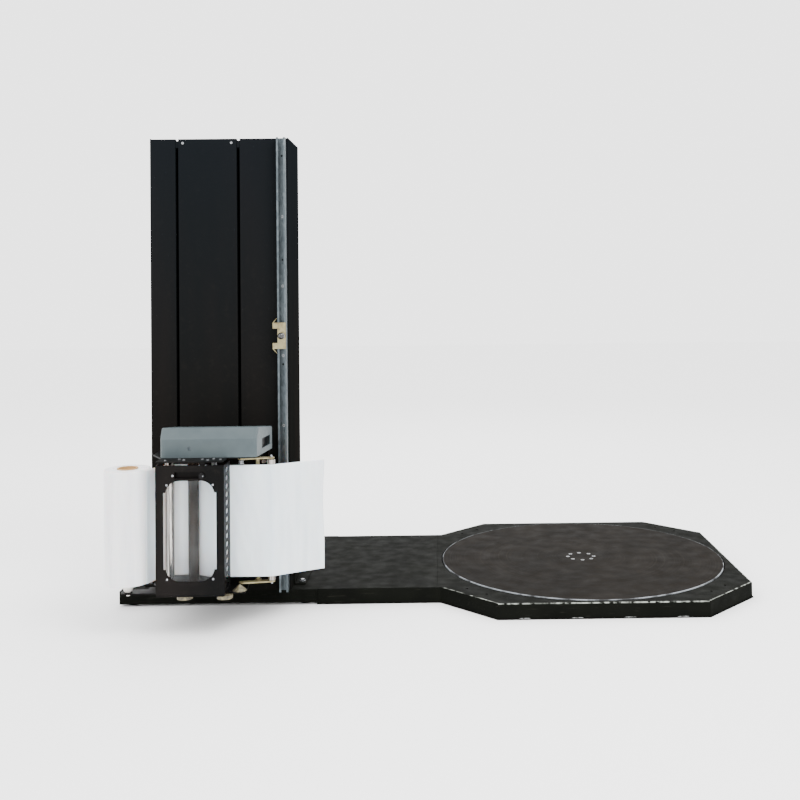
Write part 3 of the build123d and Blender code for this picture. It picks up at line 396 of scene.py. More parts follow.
# %% [markdown]
# ## Dressing the finished model
# The pieces that came with the machine keep their shapes and only swap their placeholder finish. One
# table says which node wears what, so a missing node is easy to see.

# %% A finish for every node
finishes = {
    floor_enamel: ("base_pan", "turntable_surround", "bridge_deck", "mast_base", "wheel_brackets",
                   "mast_foot_brackets"),
    table_enamel: ("turntable_disc",),
    mast_coat: ("mast_left_shell", "mast_front_panel", "mast_right_shell", "mast_back_panel",
                "mast_top_cap"),
    powder_coat: ("drive_cover", "gate_frame", "carriage_frame", "carriage_trolley"),
    galvanised: ("strut_rail",),
    yellow_zinc: ("dancer_frame", "height_stop_cam"),
    aged_zinc: ("carriage_bumpers",),
    ground_steel: ("centre_bearing", "guide_rails", "idler_roller", "lift_sprocket_lower",
                   "lift_sprocket_upper", "table_drive_sprocket", "turntable_hub", "switch_lever"),
    bright_zinc: ("mast_foot_bolts",),
    hard_chrome: ("chrome_roller", "exit_roller"),
    oiled_steel: ("lift_chain", "table_drive_chain"),
    hood_plastic: ("carriage_cover",),
    black_plastic: ("gate_latch", "limit_switch", "load_sensor", "main_switch"),
    ball_plastic: ("cam_knob",),
    white_nylon: ("roll_spindle", "lower_guide_wheels", "upper_guide_wheels", "support_wheel_1",
                  "support_wheel_2", "support_wheel_3", "support_wheel_4"),
    red_plastic: ("stop_button", "emergency_stop"),
    green_plastic: ("start_button",),
    motor_enamel: ("lift_gearmotor", "table_gearmotor", "prestretch_motor"),
    box_enamel: ("control_box",),
    roller_rubber: ("rubber_roller",),
    belt_rubber: ("prestretch_belt",),
    card: ("roll_core",),
    film: ("film_roll", "film_web", "film_tail"),
    pane: ("gate_window",),
}
for finish, names in finishes.items():
    for name in names:
        for slot in nodes[name].material_slots:
            slot.material = finish
bare = sorted(set(nodes) - {name for names in finishes.values() for name in names})
print("nodes without a finish:", bare)

# %% [markdown]
# ## The stretch film's path
# The web leaves the roll, bends round four rollers on alternate sides and ends as a loose tail. On the
# machine each free stretch is dead straight, because the film is tight, and each bend has its roller's
# radius. So the line is worked out from the rollers: straight tangents joined by arcs, then a free end.

# %% Where the rollers are
def roller(node, radius_mm, turn):
    """A roller's centre, the film's radius on it, and which way the film turns (+1 anticlockwise)."""
    low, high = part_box(node)
    middle = (low + high) / 2
    return middle.x, middle.y, radius_mm * MM + film_clear, turn


film_clear = 0.8 * MM
film_low, film_high = (corner.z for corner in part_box("film_web"))
pivot = next(joint for joint in frame["joints"] if joint["name"] == "dancer_swing")
rollers = [roller("roll_core", 103.0, 1), roller("chrome_roller", 20.5, -1),
           roller("rubber_roller", 24.0, -1), roller("idler_roller", 12.0, 1),
           roller("exit_roller", 18.0, 1)]
print("rollers", [tuple(round(value, 3) for value in entry) for entry in rollers])


# %% The film's line
def tangent_touches(first, second):
    """The two points where one straight run of film leaves a roller and meets the next."""
    (ax, ay, ar, aturn), (bx, by, br, bturn) = first, second
    across = bturn * br - aturn * ar
    apart = Vector((bx - ax, by - ay))
    run = (apart.length_squared - across * across) ** 0.5
    heading = np.arctan2(apart.y, apart.x) - np.arctan2(across, run)
    left = Vector((-sin(heading), cos(heading)))
    return (Vector((ax, ay)) - left * (aturn * ar), Vector((bx, by)) - left * (bturn * br), heading)


def film_line(step):
    """Points along the film every step or so, each with how free it is: 0 on a roller, 1 between."""
    runs = [tangent_touches(a, b) for a, b in zip(rollers, rollers[1:])]
    points = []
    for number, (leave, meet, heading) in enumerate(runs):
        count = max(3, round((meet - leave).length / step))
        for part in range(count):
            share = part / count
            points.append((leave.lerp(meet, share), sin(pi * share) ** 0.6))
        next_heading = runs[number + 1][2] if number + 1 < len(runs) else tail_heading
        x, y, radius, turn = rollers[number + 1]
        sweep = (next_heading - heading) % (2 * pi) if turn > 0 else -((heading - next_heading) % (2 * pi))
        count = max(4, round(abs(sweep) * radius / (0.5 * step)))
        for part in range(count):
            angle = heading + sweep * part / count
            points.append((Vector((x + turn * radius * sin(angle), y - turn * radius * cos(angle))), 0.0))
    x, y, radius, _ = rollers[-1]
    start = Vector((x + radius * sin(tail_heading), y - radius * cos(tail_heading)))
    away = Vector((cos(tail_heading), sin(tail_heading)))
    for part in range(round(tail_length / step) + 1):
        points.append((start + away * part * step, min(1.0, part * step / 0.08)))
    return points


film_step = 5.0 * MM
tail_length, tail_heading = 250.0 * MM, radians(30)
line = film_line(film_step)
lengths = [0.0]
for (before, _), (after, _) in zip(line, line[1:]):
    lengths.append(lengths[-1] + (after - before).length)
print("film", round(lengths[-1], 3), "m long,", round(film_high - film_low, 3), "m wide")

# %% [markdown]
# ## The film as one sheet
# Tight film still isn't flat: it necks in, so slack shows as slanting ripples between the rollers, and
# the loose tail curls. The sheet is a grid along the line, pushed a millimetre or two off it wherever no
# roller holds it, and then thickened. One sheet crosses the dancer's pivot.


# %% Make the web
def grid_mesh(name, rows):
    """A mesh from rows of points, each row the same length."""
    count = len(rows[0])
    faces = [(r * count + c, r * count + c + 1, (r + 1) * count + c + 1, (r + 1) * count + c)
             for r in range(len(rows) - 1) for c in range(count - 1)]
    mesh = bpy.data.meshes.new(name)
    mesh.from_pydata([point for row in rows for point in row], [], faces)
    return mesh


def new_piece(mesh, body, material, smooth=True):
    """Put a finished mesh on show: its material and the body it rides on, if it is only one."""
    piece = bpy.data.objects.new(mesh.name, mesh)
    bpy.context.scene.collection.objects.link(piece)
    mesh.materials.clear()
    mesh.materials.append(material)
    mesh.polygons.foreach_set("use_smooth", [smooth] * len(mesh.polygons))
    if body:
        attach(piece, body)
    return piece


def ripple(along, height):
    """How far the film stands off its line where nothing holds it, in metres."""
    slant = sin(2 * pi * (along / 0.055 + height / 0.16))
    slant += 0.6 * sin(2 * pi * (along / 0.09 - height / 0.11 + 0.3))
    fine = 0.35 * sin(2 * pi * height / 0.037 + 9 * along)
    return 0.4 * MM * (slant + fine)


def web_mesh():
    """The film's rows, each with its ripple; the tail waves more towards its loose end."""
    levels = 84
    rows = []
    for place, (point, free) in enumerate(line):
        ahead = line[min(place + 1, len(line) - 1)][0] - line[max(place - 1, 0)][0]
        side = Vector((-ahead.y, ahead.x)).normalized()
        loose = max(0.0, 1 - (lengths[-1] - lengths[place]) / tail_length)
        row = []
        for level in range(levels + 1):
            share = level / levels
            height = film_low + (film_high - film_low) * share
            edge = min(1.0, 18 * share * (1 - share))
            wander = ripple(lengths[place], height) * free * edge
            wave = sin(2 * pi * (1.3 * share + 0.12) + 2.2 * loose) - 1.1 * (2 * share - 1) ** 4
            curl = loose ** 1.6 * 6.0 * MM * wave
            spot = point + side * (wander + curl)
            row.append((spot.x, spot.y, height))
        rows.append(row)
    return grid_mesh("film_web_sheet", rows)


web = new_piece(web_mesh(), None, film)
thickness = web.modifiers.new("thickness", "SOLIDIFY")
thickness.thickness = 0.3 * MM
thickness.offset = 0.0
thickness.use_even_offset = False
web_faces = len(web.data.polygons)
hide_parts("film_web", "film_tail")
print("web", web_faces, "faces")


# %% Bake it to plain mesh
def bake_modifiers(piece):
    """Turn a piece's modifiers into plain mesh."""
    depsgraph = bpy.context.evaluated_depsgraph_get()
    finished = bpy.data.meshes.new_from_object(piece.evaluated_get(depsgraph))
    finished.name = piece.data.name
    piece.modifiers.clear()
    piece.data = finished


bake_modifiers(web)
pivot_place = Vector(pivot["pos_m"])
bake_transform(web)
print("web bends about", tuple(round(value, 3) for value in pivot_place))

# %% [markdown]
# ## The roll of film
# A wound roll is a few hundred metres of film on a card tube. Its side isn't a true cylinder: bands of
# slightly thicker film pile up, and the ends show the spiral of the layers. The shape follows a rule, so
# one profile is turned about the roll's axis.


# %% Turn a profile
def close_mesh(bm, name):
    """Point every face outwards and turn the working mesh into a named one."""
    bmesh.ops.recalc_face_normals(bm, faces=bm.faces)
    mesh = bpy.data.meshes.new(name)
    bm.to_mesh(mesh)
    bm.free()
    return mesh


def turned(name, profile, segments):
    """A closed solid of revolution about Z from (radius, height) points, closed on its axis or as a ring.

    A third value on a point gives that ring flats: 6 makes it a hexagon."""
    bm = bmesh.new()
    rings = []
    for radius, height, *flats in profile:
        if radius == 0:
            rings.append([bm.verts.new((0, 0, height))])
            continue
        ring = []
        for part in range(segments):
            angle = 2 * pi * part / segments
            reach = radius
            if flats:
                wedge = 2 * pi / flats[0]
                reach = radius * cos(wedge / 2) / cos((angle % wedge) - wedge / 2)
            ring.append(bm.verts.new((reach * cos(angle), reach * sin(angle), height)))
        rings.append(ring)
    pairs = list(zip(rings, rings[1:]))
    if profile[0][0] != 0:
        pairs.append((rings[-1], rings[0]))
    for lower, upper in pairs:
        for part in range(segments):
            after = (part + 1) % segments
            if len(lower) == 1:
                bm.faces.new((lower[0], upper[after], upper[part]))
            elif len(upper) == 1:
                bm.faces.new((lower[part], lower[after], upper[0]))
            else:
                bm.faces.new((lower[part], lower[after], upper[after], upper[part]))
    return close_mesh(bm, name)


def roll_profile():
    """The roll's section: bore, bottom end with its layers, rippled side, top end."""
    low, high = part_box("film_roll")
    outer = (high.x - low.x) / 2
    inner = 46.2 * MM
    ends, sides = 20, 90
    dice = np.random.default_rng(7)
    bands = np.convolve(dice.normal(0, 1, sides + 8), np.ones(9) / 9, "valid")
    layer = dice.normal(0, 0.35 * MM, ends)
    face = [(inner + (outer - 3 * MM - inner) * part / (ends - 1)) for part in range(ends)]
    bottom = [(radius, low.z + 0.6 * MM + abs(step)) for radius, step in zip(face, layer)]
    top = [(radius, high.z - 0.6 * MM - abs(step)) for radius, step in zip(face[::-1], layer)]
    side = []
    for part in range(sides):
        share = part / (sides - 1)
        shoulder = 2.2 * MM * (2 * share - 1) ** 30
        side.append((outer - 0.7 * MM - shoulder + 0.9 * MM * bands[part],
                     low.z + 1.6 * MM + (high.z - low.z - 3.2 * MM) * share))
    return bottom + side + top


roll_mesh = turned("film_roll_wound", roll_profile(), 128)
roll_middle = (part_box("film_roll")[0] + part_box("film_roll")[1]) / 2
roll_mesh.transform(Matrix.Translation((roll_middle.x, roll_middle.y, 0)))
wound_roll = new_piece(roll_mesh, "film_supply", film)
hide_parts("film_roll")
print("roll", len(roll_mesh.polygons), "faces")

# %% [markdown]
# ## Screws, by Geometry Nodes
# A machine like this has a hundred screw heads in three or four patterns. Each pattern is a cloud of
# points that know which way they face. One node tree stands a head on every point, gives each its own
# turn, as a spanner leaves them, and makes the copies real, so that they export as plain mesh.


# %% Tree tools
def start_tree(name, sockets):
    """An empty modifier tree with a geometry output and named inputs."""
    tree = bpy.data.node_groups.new(name, "GeometryNodeTree")
    tree.is_modifier = True
    tree.interface.new_socket(name="Geometry", in_out="OUTPUT", socket_type="NodeSocketGeometry")
    tree.interface.new_socket(name="Geometry", in_out="INPUT", socket_type="NodeSocketGeometry")
    for socket, kind in sockets:
        tree.interface.new_socket(name=socket, in_out="INPUT", socket_type="NodeSocket" + kind)
    return tree, add_node(tree, "NodeGroupInput").outputs


def end_tree(tree, geometry, material):
    """Make the copies real, give them their finish and send them out."""
    real = add_node(tree, "GeometryNodeRealizeInstances", {0: geometry}).outputs[0]
    dressed = add_node(tree, "GeometryNodeSetMaterial", {"Geometry": real, "Material": material}).outputs[0]
    add_node(tree, "NodeGroupOutput", {0: dressed})


def run_tree(tree, source, values, name):
    """Run a tree on a source object and return the result as a plain mesh; the source is removed."""
    modifier = source.modifiers.new(tree.name, "NODES")
    modifier.node_group = tree
    for item in tree.interface.items_tree:
        if item.in_out == "INPUT" and item.name in values:
            modifier[item.identifier] = values[item.name]
    depsgraph = bpy.context.evaluated_depsgraph_get()
    mesh = bpy.data.meshes.new_from_object(source.evaluated_get(depsgraph))
    mesh.name = name
    bpy.data.objects.remove(source)
    return mesh


def hidden_object(data):
    """An object that only feeds a tree."""
    helper = bpy.data.objects.new(data.name, data)
    bpy.context.scene.collection.objects.link(helper)
    return helper


def heads_tree():
    """Stand a head on every point, along the point's facing direction, at a random turn."""
    tree, inputs = start_tree("screw heads", (("Head", "Object"), ("Size", "Float"), ("Seed", "Int"),
                                              ("Finish", "Material")))
    facing = add_node(tree, "GeometryNodeInputNamedAttribute", {"Name": "facing"}, data_type="FLOAT_VECTOR")
    upright = add_node(tree, "FunctionNodeAlignRotationToVector", {"Vector": facing.outputs[0]}, axis="Z")
    turn = add_node(tree, "FunctionNodeRandomValue", {2: 0.0, 3: 2 * pi, "Seed": inputs["Seed"]},
                    data_type="FLOAT")
    spin = add_node(tree, "FunctionNodeAxisAngleToRotation", {"Axis": (0, 0, 1), "Angle": turn.outputs[1]})
    turned_up = add_node(tree, "FunctionNodeRotateRotation", {"Rotation": upright.outputs[0],
                                                              "Rotate By": spin.outputs[0]},
                         rotation_space="LOCAL")
    head = add_node(tree, "GeometryNodeObjectInfo", {"Object": inputs["Head"]})
    placed = add_node(tree, "GeometryNodeInstanceOnPoints",
                      {"Points": inputs["Geometry"], "Instance": head.outputs["Geometry"],
                       "Rotation": turned_up.outputs[0], "Scale": inputs["Size"]})
    end_tree(tree, placed.outputs[0], inputs["Finish"])
    return tree


screw_heads = heads_tree()
print(screw_heads.name, "takes", [item.name for item in screw_heads.interface.items_tree])

# %% [markdown]
# Each head is one profile turned about its axis, in units of its own radius, with a few rings made
# six-sided for the spanner's flats or the key's socket. The profiles stay coarse, because every head
# repeats them.

# %% Head shapes and a way to place them
head_profiles = {
    "button_head": [(0, 0.2), (0.42, 0.2, 6), (0.45, 0.56, 6), (0.72, 0.5), (0.94, 0.28), (1.0, 0),
                    (0, -0.15)],
    "hex_head": [(0, 0.62), (0.62, 0.62), (0.86, 0.55, 6), (0.88, 0.14, 6), (1.05, 0.14), (1.05, 0),
                 (0, -0.1)],
    "dome_nut": [(0, 1.3), (0.35, 1.2), (0.58, 0.95), (0.62, 0.6), (0.88, 0.56, 6), (0.9, 0, 6), (0, -0.1)],
    "flat_head": [(0, -0.16), (0.36, -0.16, 6), (0.4, 0.03, 6), (0.97, 0.03), (1.0, 0), (0.8, -0.12),
                  (0, -0.3)],
}
head_meshes = {}
for kind, profile in head_profiles.items():
    head_meshes[kind] = hidden_object(turned(kind, profile, 18))


def facing_points(name, places):
    """A cloud of points that know which way they face; places are (x, y, z, facing) in metres."""
    cloud = bpy.data.meshes.new(name + "_points")
    cloud.from_pydata([place[:3] for place in places], [], [])
    facing = cloud.attributes.new("facing", "FLOAT_VECTOR", "POINT")
    facing.data.foreach_set("vector", [value for place in places for value in place[3]])
    return hidden_object(cloud)


def stand_heads(name, body, kind, radius_mm, places, finish):
    """One piece made of equal heads."""
    values = {"Head": head_meshes[kind], "Size": radius_mm * MM, "Seed": len(places), "Finish": finish}
    mesh = run_tree(screw_heads, facing_points(name, places), values, name)
    return new_piece(mesh, body, finish, smooth=False)


front, rear, up, down = (0, -1, 0), (0, 1, 0), (0, 0, 1), (0, 0, -1)
print("head shapes:", ", ".join(head_profiles))


# %% Screws of the mast and the base
def mast_places():
    """Two heads at the top of the centre panel, and rows down the edges of the back panel."""
    low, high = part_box("mast_front_panel")
    left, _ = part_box("mast_left_shell")
    shown = [(left.x + across * MM, low.y, high.z - 20 * MM, front) for across in (161, 400)]
    low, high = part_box("mast_back_panel")
    rows = 8
    margin = 16 * MM
    for row in range(rows):
        height = low.z + 60 * MM + (high.z - low.z - 120 * MM) * row / (rows - 1)
        shown += [(low.x + margin, high.y, height, rear), (high.x - margin, high.y, height, rear)]
    return shown


def rail_places():
    """Countersunk screws down the web of the height-stop rail, between its round holes."""
    low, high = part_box("strut_rail")
    middle = (low.x + high.x) / 2
    web_face = high.y - 2.5 * MM
    return [(middle, web_face, low.z + (120 + 342 * row) * MM, front) for row in range(6)]


def cover_places(node, margin_mm, height_mm):
    """Screws through the two side walls of a cover, near its foot and its top."""
    low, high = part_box(node)
    return [(x, y, z, (way, 0, 0)) for x, way in ((low.x, -1), (high.x, 1))
            for y in (low.y + margin_mm * MM, high.y - margin_mm * MM)
            for z in (low.z + height_mm * MM, high.z - height_mm * MM)]


def lid_places(margin_mm):
    """The control box's four lid screws."""
    low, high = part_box("control_box")
    lid = high.y - 3 * MM
    margin = margin_mm * MM
    return [(x, lid, z, rear) for x in (low.x + margin, high.x - margin)
            for z in (low.z + 24 * MM, high.z - margin)]


stand_heads("mast_panel_screws", "base", "button_head", 7.0, mast_places(), bright_zinc)
stand_heads("rail_screws", "base", "flat_head", 7.5, rail_places(), ground_steel)
stand_heads("drive_cover_screws", "base", "button_head", 5.0,
            cover_places("drive_cover", 18, 15), oiled_steel)
stand_heads("control_box_screws", "base", "button_head", 4.5, lid_places(14), bright_zinc)
hub_ring = [(70 * MM * cos(a * pi / 4), 70 * MM * sin(a * pi / 4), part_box("turntable_disc")[1].z, up)
            for a in range(8)]
stand_heads("table_screws", "turntable", "flat_head", 10.0, hub_ring, ground_steel)
print("mast, rail, cover, box and table screws")


# %% Screws of the gate
def gate_places():
    """One bright screw at each corner of the window, and one beside the finger slot."""
    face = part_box("gate_frame")[0].y
    low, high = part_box("gate_window")
    middle = (low + high) / 2
    across, tall = 102 * MM, 208 * MM
    corners = [(middle.x + sx * across, face, middle.z - 2.5 * MM + sz * tall, front)
               for sx in (-1, 1) for sz in (-1, 1)]
    latch_low, latch_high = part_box("gate_latch")
    slot_end = (latch_low.x - 118 * MM, face, (latch_low.z + latch_high.z) / 2, front)
    return corners + [slot_end]


stand_heads("gate_screws", "gate", "button_head", 5.5, gate_places(), bright_zinc)
latch_low, latch_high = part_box("gate_latch")
latch_pin = [((latch_low.x + latch_high.x) / 2, latch_low.y, (latch_low.z + latch_high.z) / 2, front)]
stand_heads("latch_screw", "latch", "button_head", 3.0, latch_pin, bright_zinc)
print("gate and latch screws")


# %% Bolts of the carriage
def ledge_places():
    """Nuts and bolts along the top plate in front of the hood."""
    low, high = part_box("carriage_frame")
    hood_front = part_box("carriage_cover")[0].y
    depth = hood_front - low.y
    left_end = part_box("gate_frame")[0].x
    spots = ((38, 0.25), (92, 0.6), (118, 0.35), (196, 0.55), (226, 0.3), (246, 0.62), (280, 0.4))
    return [(left_end + across * MM, low.y + share * depth, high.z, up) for across, share in spots]


def back_places():
    """Two rows of bolts that hold the carriage's back plate to the trolley's arms."""
    low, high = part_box("carriage_frame")
    face = high.y - 6 * MM
    arms = (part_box("mast_left_shell")[1].x + 7 * MM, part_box("mast_front_panel")[1].x + 8 * MM)
    return [(x, face, low.z + (90 + 80 * row) * MM, front) for x in arms for row in range(6)]


def hood_places():
    """Small screws along the hood's foot at both ends."""
    low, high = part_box("carriage_cover")
    return [(low.x, y, low.z + 14 * MM, (-1, 0, 0)) for y in (low.y + 40 * MM, high.y - 40 * MM)]


stand_heads("ledge_bolts", "carriage", "hex_head", 6.5, ledge_places(), bright_zinc)
stand_heads("back_plate_bolts", "carriage", "hex_head", 7.5, back_places(), bright_zinc)
stand_heads("hood_screws", "carriage", "button_head", 4.0, hood_places(), oiled_steel)
arm_low, arm_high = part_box("dancer_frame")
exit_low, exit_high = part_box("exit_roller")
exit_x, exit_y = (exit_low.x + exit_high.x) / 2, (exit_low.y + exit_high.y) / 2
nuts = [(exit_x, exit_y, arm_high.z, up), (exit_x, exit_y, arm_low.z, down)]
stand_heads("dancer_nuts", "dancer", "dome_nut", 8.5, nuts, bright_zinc)
print("carriage and dancer bolts")

# %% [markdown]
# ## The dancer's spring
# The dancer arm is pulled forward by a torsion spring wound round its pivot, between the film's top edge
# and the arm. A helix is a rule, so its centre line is worked out, and a bevelled curve gives the wire.


# %% Wind the spring
def centre_line(name, spots, closed=False):
    """A curve with straight steps through the spots, and its length."""
    curve = bpy.data.curves.new(name, "CURVE")
    curve.dimensions = "3D"
    spline = curve.splines.new("POLY")
    spline.points.add(len(spots) - 1)
    spline.points.foreach_set("co", [value for spot in spots for value in (*spot, 1.0)])
    spline.use_cyclic_u = closed
    return curve, spline.calc_length()


def spring_mesh():
    """A close-wound spring round the pivot with one leg that lies along the arm."""
    turns, wire, radius = 5, 1.6 * MM, 10.5 * MM
    foot = film_high + 3.0 * MM
    steps = 24
    spots = []
    for part in range(turns * steps + 1):
        angle = 2 * pi * part / steps
        spots.append((pivot_place.x + radius * cos(angle), pivot_place.y + radius * sin(angle),
                      foot + wire + 2.15 * wire * part / steps))
    end = spots[-1]
    spots.append((end[0] + 4 * MM, end[1] + 14 * MM, end[2]))
    spots.append((end[0] + 30 * MM, end[1] + 26 * MM, end[2]))
    curve, _ = centre_line("dancer_spring", spots)
    curve.bevel_depth = wire
    curve.bevel_resolution = 2
    curve.use_fill_caps = True
    winding = hidden_object(curve)
    mesh = bpy.data.meshes.new_from_object(winding.evaluated_get(bpy.context.evaluated_depsgraph_get()))
    mesh.name = "dancer_spring"
    bpy.data.objects.remove(winding)
    return mesh


spring = new_piece(spring_mesh(), "dancer", bright_zinc)
print("spring", len(spring.data.polygons), "faces")

# %% [markdown]
# ## Roller chains, by Geometry Nodes
# A roller chain alternates two links: an inner one with its rollers and an outer one with its pins. The
# finished model only has a plain band where each chain runs. The tree walks round the band's middle
# line one pitch at a time and stands inner and outer links in turn, each along the line's direction.


# %% Links and their tree
def link_mesh(name, pitch, plate_gap, rollers_too):
    """Two waisted side plates, with two short rollers between them on an inner link."""
    bm = bmesh.new()
    tall, thick = 3.4 * MM, 0.9 * MM
    outline = [(-pitch / 2 - tall * 0.9, 0.35), (-pitch / 2, 1), (0, 0.72), (pitch / 2, 1),
               (pitch / 2 + tall * 0.9, 0.35)]
    ring = [(x, share * tall) for x, share in outline] + [(x, -share * tall) for x, share in outline[::-1]]
    for side in (-1, 1):
        faces = []
        for offset in (0, thick):
            verts = [bm.verts.new((x, side * (plate_gap / 2 + offset), z)) for x, z in ring]
            faces.append(verts)
        bm.faces.new(faces[0])
        bm.faces.new(faces[1][::-1])
        for place in range(len(ring)):
            after = (place + 1) % len(ring)
            bm.faces.new((faces[0][place], faces[1][place], faces[1][after], faces[0][after]))
    if rollers_too:
        for x in (-pitch / 2, pitch / 2):
            stand = Matrix.Translation((x, 0, 0)) @ Matrix.Rotation(pi / 2, 4, "X")
            bmesh.ops.create_cone(bm, cap_ends=True, segments=8, radius1=2.6 * MM, radius2=2.6 * MM,
                                  depth=plate_gap, matrix=stand)
    return hidden_object(close_mesh(bm, name))


def chain_tree():
    """Stand inner and outer links in turn round a closed curve."""
    tree, inputs = start_tree("roller chain", (("Inner link", "Object"), ("Outer link", "Object"),
                                               ("Links", "Int"), ("Pin direction", "Vector"),
                                               ("Finish", "Material")))
    points = add_node(tree, "GeometryNodeCurveToPoints", {"Curve": inputs["Geometry"],
                                                          "Count": inputs["Links"]}, mode="COUNT")
    across = add_node(tree, "FunctionNodeAlignRotationToVector", {"Vector": inputs["Pin direction"]},
                      axis="Y")
    along = add_node(tree, "FunctionNodeAlignRotationToVector",
                     {"Rotation": across.outputs[0], "Vector": points.outputs["Tangent"]},
                     axis="X", pivot_axis="Y")
    number = add_node(tree, "GeometryNodeInputIndex").outputs[0]
    odd = add_node(tree, "ShaderNodeMath", {0: number, 1: 2.0}, operation="MODULO").outputs[0]
    even = add_node(tree, "ShaderNodeMath", {0: 1.0, 1: odd}, operation="SUBTRACT").outputs[0]
    joined = add_node(tree, "GeometryNodeJoinGeometry")
    for link, chosen in (("Inner link", even), ("Outer link", odd)):
        shape = add_node(tree, "GeometryNodeObjectInfo", {"Object": inputs[link]})
        copies = add_node(tree, "GeometryNodeInstanceOnPoints",
                          {"Points": points.outputs["Points"], "Selection": chosen,
                           "Instance": shape.outputs["Geometry"], "Rotation": along.outputs[0]})
        tree.links.new(copies.outputs[0], joined.inputs[0])
    end_tree(tree, joined.outputs[0], inputs["Finish"])
    return tree


chain_nodes = chain_tree()
print(chain_nodes.name, "tree with", len(chain_nodes.nodes), "nodes")


# %% Lay both chains
def chain_loop(name, wheels, flat_at, upright):
    """A closed line round two equal or unequal wheels, given as (first, second, radius) in its plane."""
    spots = []
    for (c0, c1, radius), (n0, n1, next_radius) in (wheels, wheels[::-1]):
        toward = np.arctan2(n1 - c1, n0 - c0)
        lean = np.arccos((radius - next_radius) / np.hypot(n0 - c0, n1 - c1))
        turn_from, turn_to = toward + lean, toward + 2 * pi - lean
        for part in range(33):
            angle = turn_from + (turn_to - turn_from) * part / 32
            first, second = c0 + radius * cos(angle), c1 + radius * sin(angle)
            spots.append((flat_at, first, second) if upright else (first, second, flat_at))
    curve, length = centre_line(name, spots, closed=True)
    return hidden_object(curve), length


def lay_chain(name, node, wheels, flat_at, upright):
    """Replace a plain chain band with links."""
    pitch = 12.7 * MM
    loop, length = chain_loop(name, wheels, flat_at, upright)
    count = 2 * round(length / pitch / 2)
    values = {"Inner link": inner_link, "Outer link": outer_link, "Links": count,
              "Pin direction": (1, 0, 0) if upright else (0, 0, 1), "Finish": oiled_steel}
    piece = new_piece(run_tree(chain_nodes, loop, values, name), "base", oiled_steel,
                      smooth=False)
    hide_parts(node)
    return count


inner_link = link_mesh("inner_link", 12.7 * MM, 2.6 * MM, True)
outer_link = link_mesh("outer_link", 12.7 * MM, 4.2 * MM, False)
band_middle = 4.5 * MM
low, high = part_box("lift_chain")
reach = (high.y - low.y) / 2 - band_middle + 0.5 * MM
middle_y = (low.y + high.y) / 2
lift_wheels = ((middle_y, low.z + reach + band_middle - 0.5 * MM, reach),
               (middle_y, high.z - reach - band_middle + 0.5 * MM, reach))
lift_links = lay_chain("lift_chain_links", "lift_chain", lift_wheels, (low.x + high.x) / 2, True)
low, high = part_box("table_drive_chain")
table_reach = (high.y - low.y) / 2 - 4 * MM
drive_reach = table_reach - 160 * MM
table_wheels = ((low.x + drive_reach + 4 * MM, 0.0, drive_reach), (0.0, 0.0, table_reach))
table_links = lay_chain("table_chain_links", "table_drive_chain", table_wheels, (low.z + high.z) / 2, False)
print("links:", lift_links, "on the lift chain,", table_links, "on the table chain")

# %% [markdown]
# ## Welds along the turntable's skirt
# The skirt is stitch-welded to the pan with short beads, ground by boots and pallet trucks until they
# shine. The beads repeat along each side, so points along the octagon carry a bead apiece.


# %% Stitch welds
def bead_mesh():
    """A short weld bead along X, rippled, that fills the corner between the pan and the skirt."""
    bm = bmesh.new()
    rings = []
    parts, around = 14, 6
    for part in range(parts + 1):
        share = part / parts
        fat = (2.4 + 0.35 * sin(share * 40)) * MM * max(0.15, 1 - (2 * share - 1) ** 6)
        spots = [(fat * cos(2 * pi * a / around), fat * sin(2 * pi * a / around)) for a in range(around)]
        rings.append([bm.verts.new(((share - 0.5) * 0.055, y, z)) for y, z in spots])
    for before, after in zip(rings, rings[1:]):
        for a in range(around):
            b = (a + 1) % around
            bm.faces.new((before[a], before[b], after[b], after[a]))
    bm.faces.new(rings[0][::-1])
    bm.faces.new(rings[-1])
    return hidden_object(close_mesh(bm, "weld_bead"))


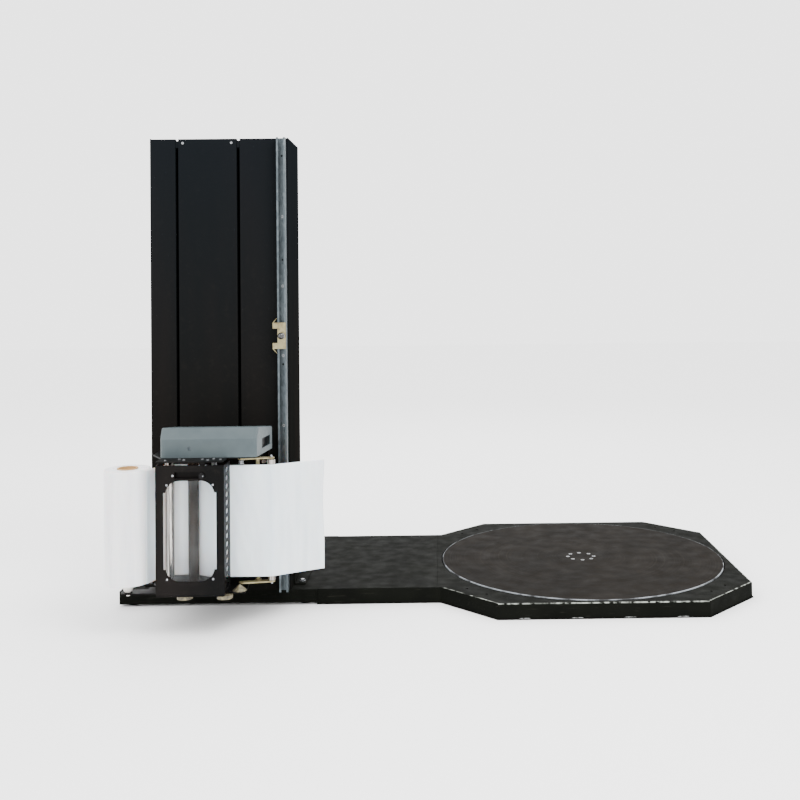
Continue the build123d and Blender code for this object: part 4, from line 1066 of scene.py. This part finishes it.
def beads_tree():
    """Stand a bead on every point, along the point's facing direction, lying flat."""
    tree, inputs = start_tree("weld beads", (("Bead", "Object"), ("Finish", "Material")))
    facing = add_node(tree, "GeometryNodeInputNamedAttribute", {"Name": "facing"}, data_type="FLOAT_VECTOR")
    lie = add_node(tree, "FunctionNodeAlignRotationToVector", {"Vector": facing.outputs[0]},
                   axis="X", pivot_axis="Z")
    shape = add_node(tree, "GeometryNodeObjectInfo", {"Object": inputs["Bead"]})
    copies = add_node(tree, "GeometryNodeInstanceOnPoints",
                      {"Points": inputs["Geometry"], "Instance": shape.outputs["Geometry"],
                       "Rotation": lie.outputs[0]})
    end_tree(tree, copies.outputs[0], inputs["Finish"])
    return tree


def bead_places():
    """Beads about 250 mm apart round the octagon's foot, on the pan's lip."""
    low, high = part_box("turntable_surround")
    half, cut = high.x, 288 * MM - 2.5 * MM
    flat = half - cut
    corners = [(flat, -half), (half, -flat), (half, flat), (flat, half),
               (-flat, half), (-half, flat), (-half, -flat), (-flat, -half)]
    spots = []
    for place, start in enumerate(corners):
        end = corners[(place + 1) % len(corners)]
        apart = Vector(end) - Vector(start)
        count = round(apart.length / 0.25)
        for part in range(count):
            spot = Vector(start) + apart * ((part + 0.5) / count)
            if spot.x > -flat - cut / 2 or abs(spot.y) > 0.52:
                spots.append((spot.x, spot.y, low.z + 0.8 * MM, (apart.x, apart.y, 0)))
    return spots


beads = bead_places()
bead = bead_mesh()
weld_mesh = run_tree(beads_tree(), facing_points("bead", beads), {"Bead": bead, "Finish": worn_weld},
                     "skirt_welds")
welds = new_piece(weld_mesh, "base", worn_weld)
print(welds.name, "has", len(beads), "beads")

# %% Floor and sizes
for helper in (*head_meshes.values(), inner_link, outer_link, bead):
    bpy.data.objects.remove(helper)

floor_size = 40.0
bpy.ops.mesh.primitive_plane_add(size=floor_size)
floor = bpy.context.active_object
floor.name = "floor"
floor_finish = start_finish("pale floor", "#fafafa", 0.9, Specular_IOR_Level=0.1)[0]
floor.data.materials.append(floor_finish)
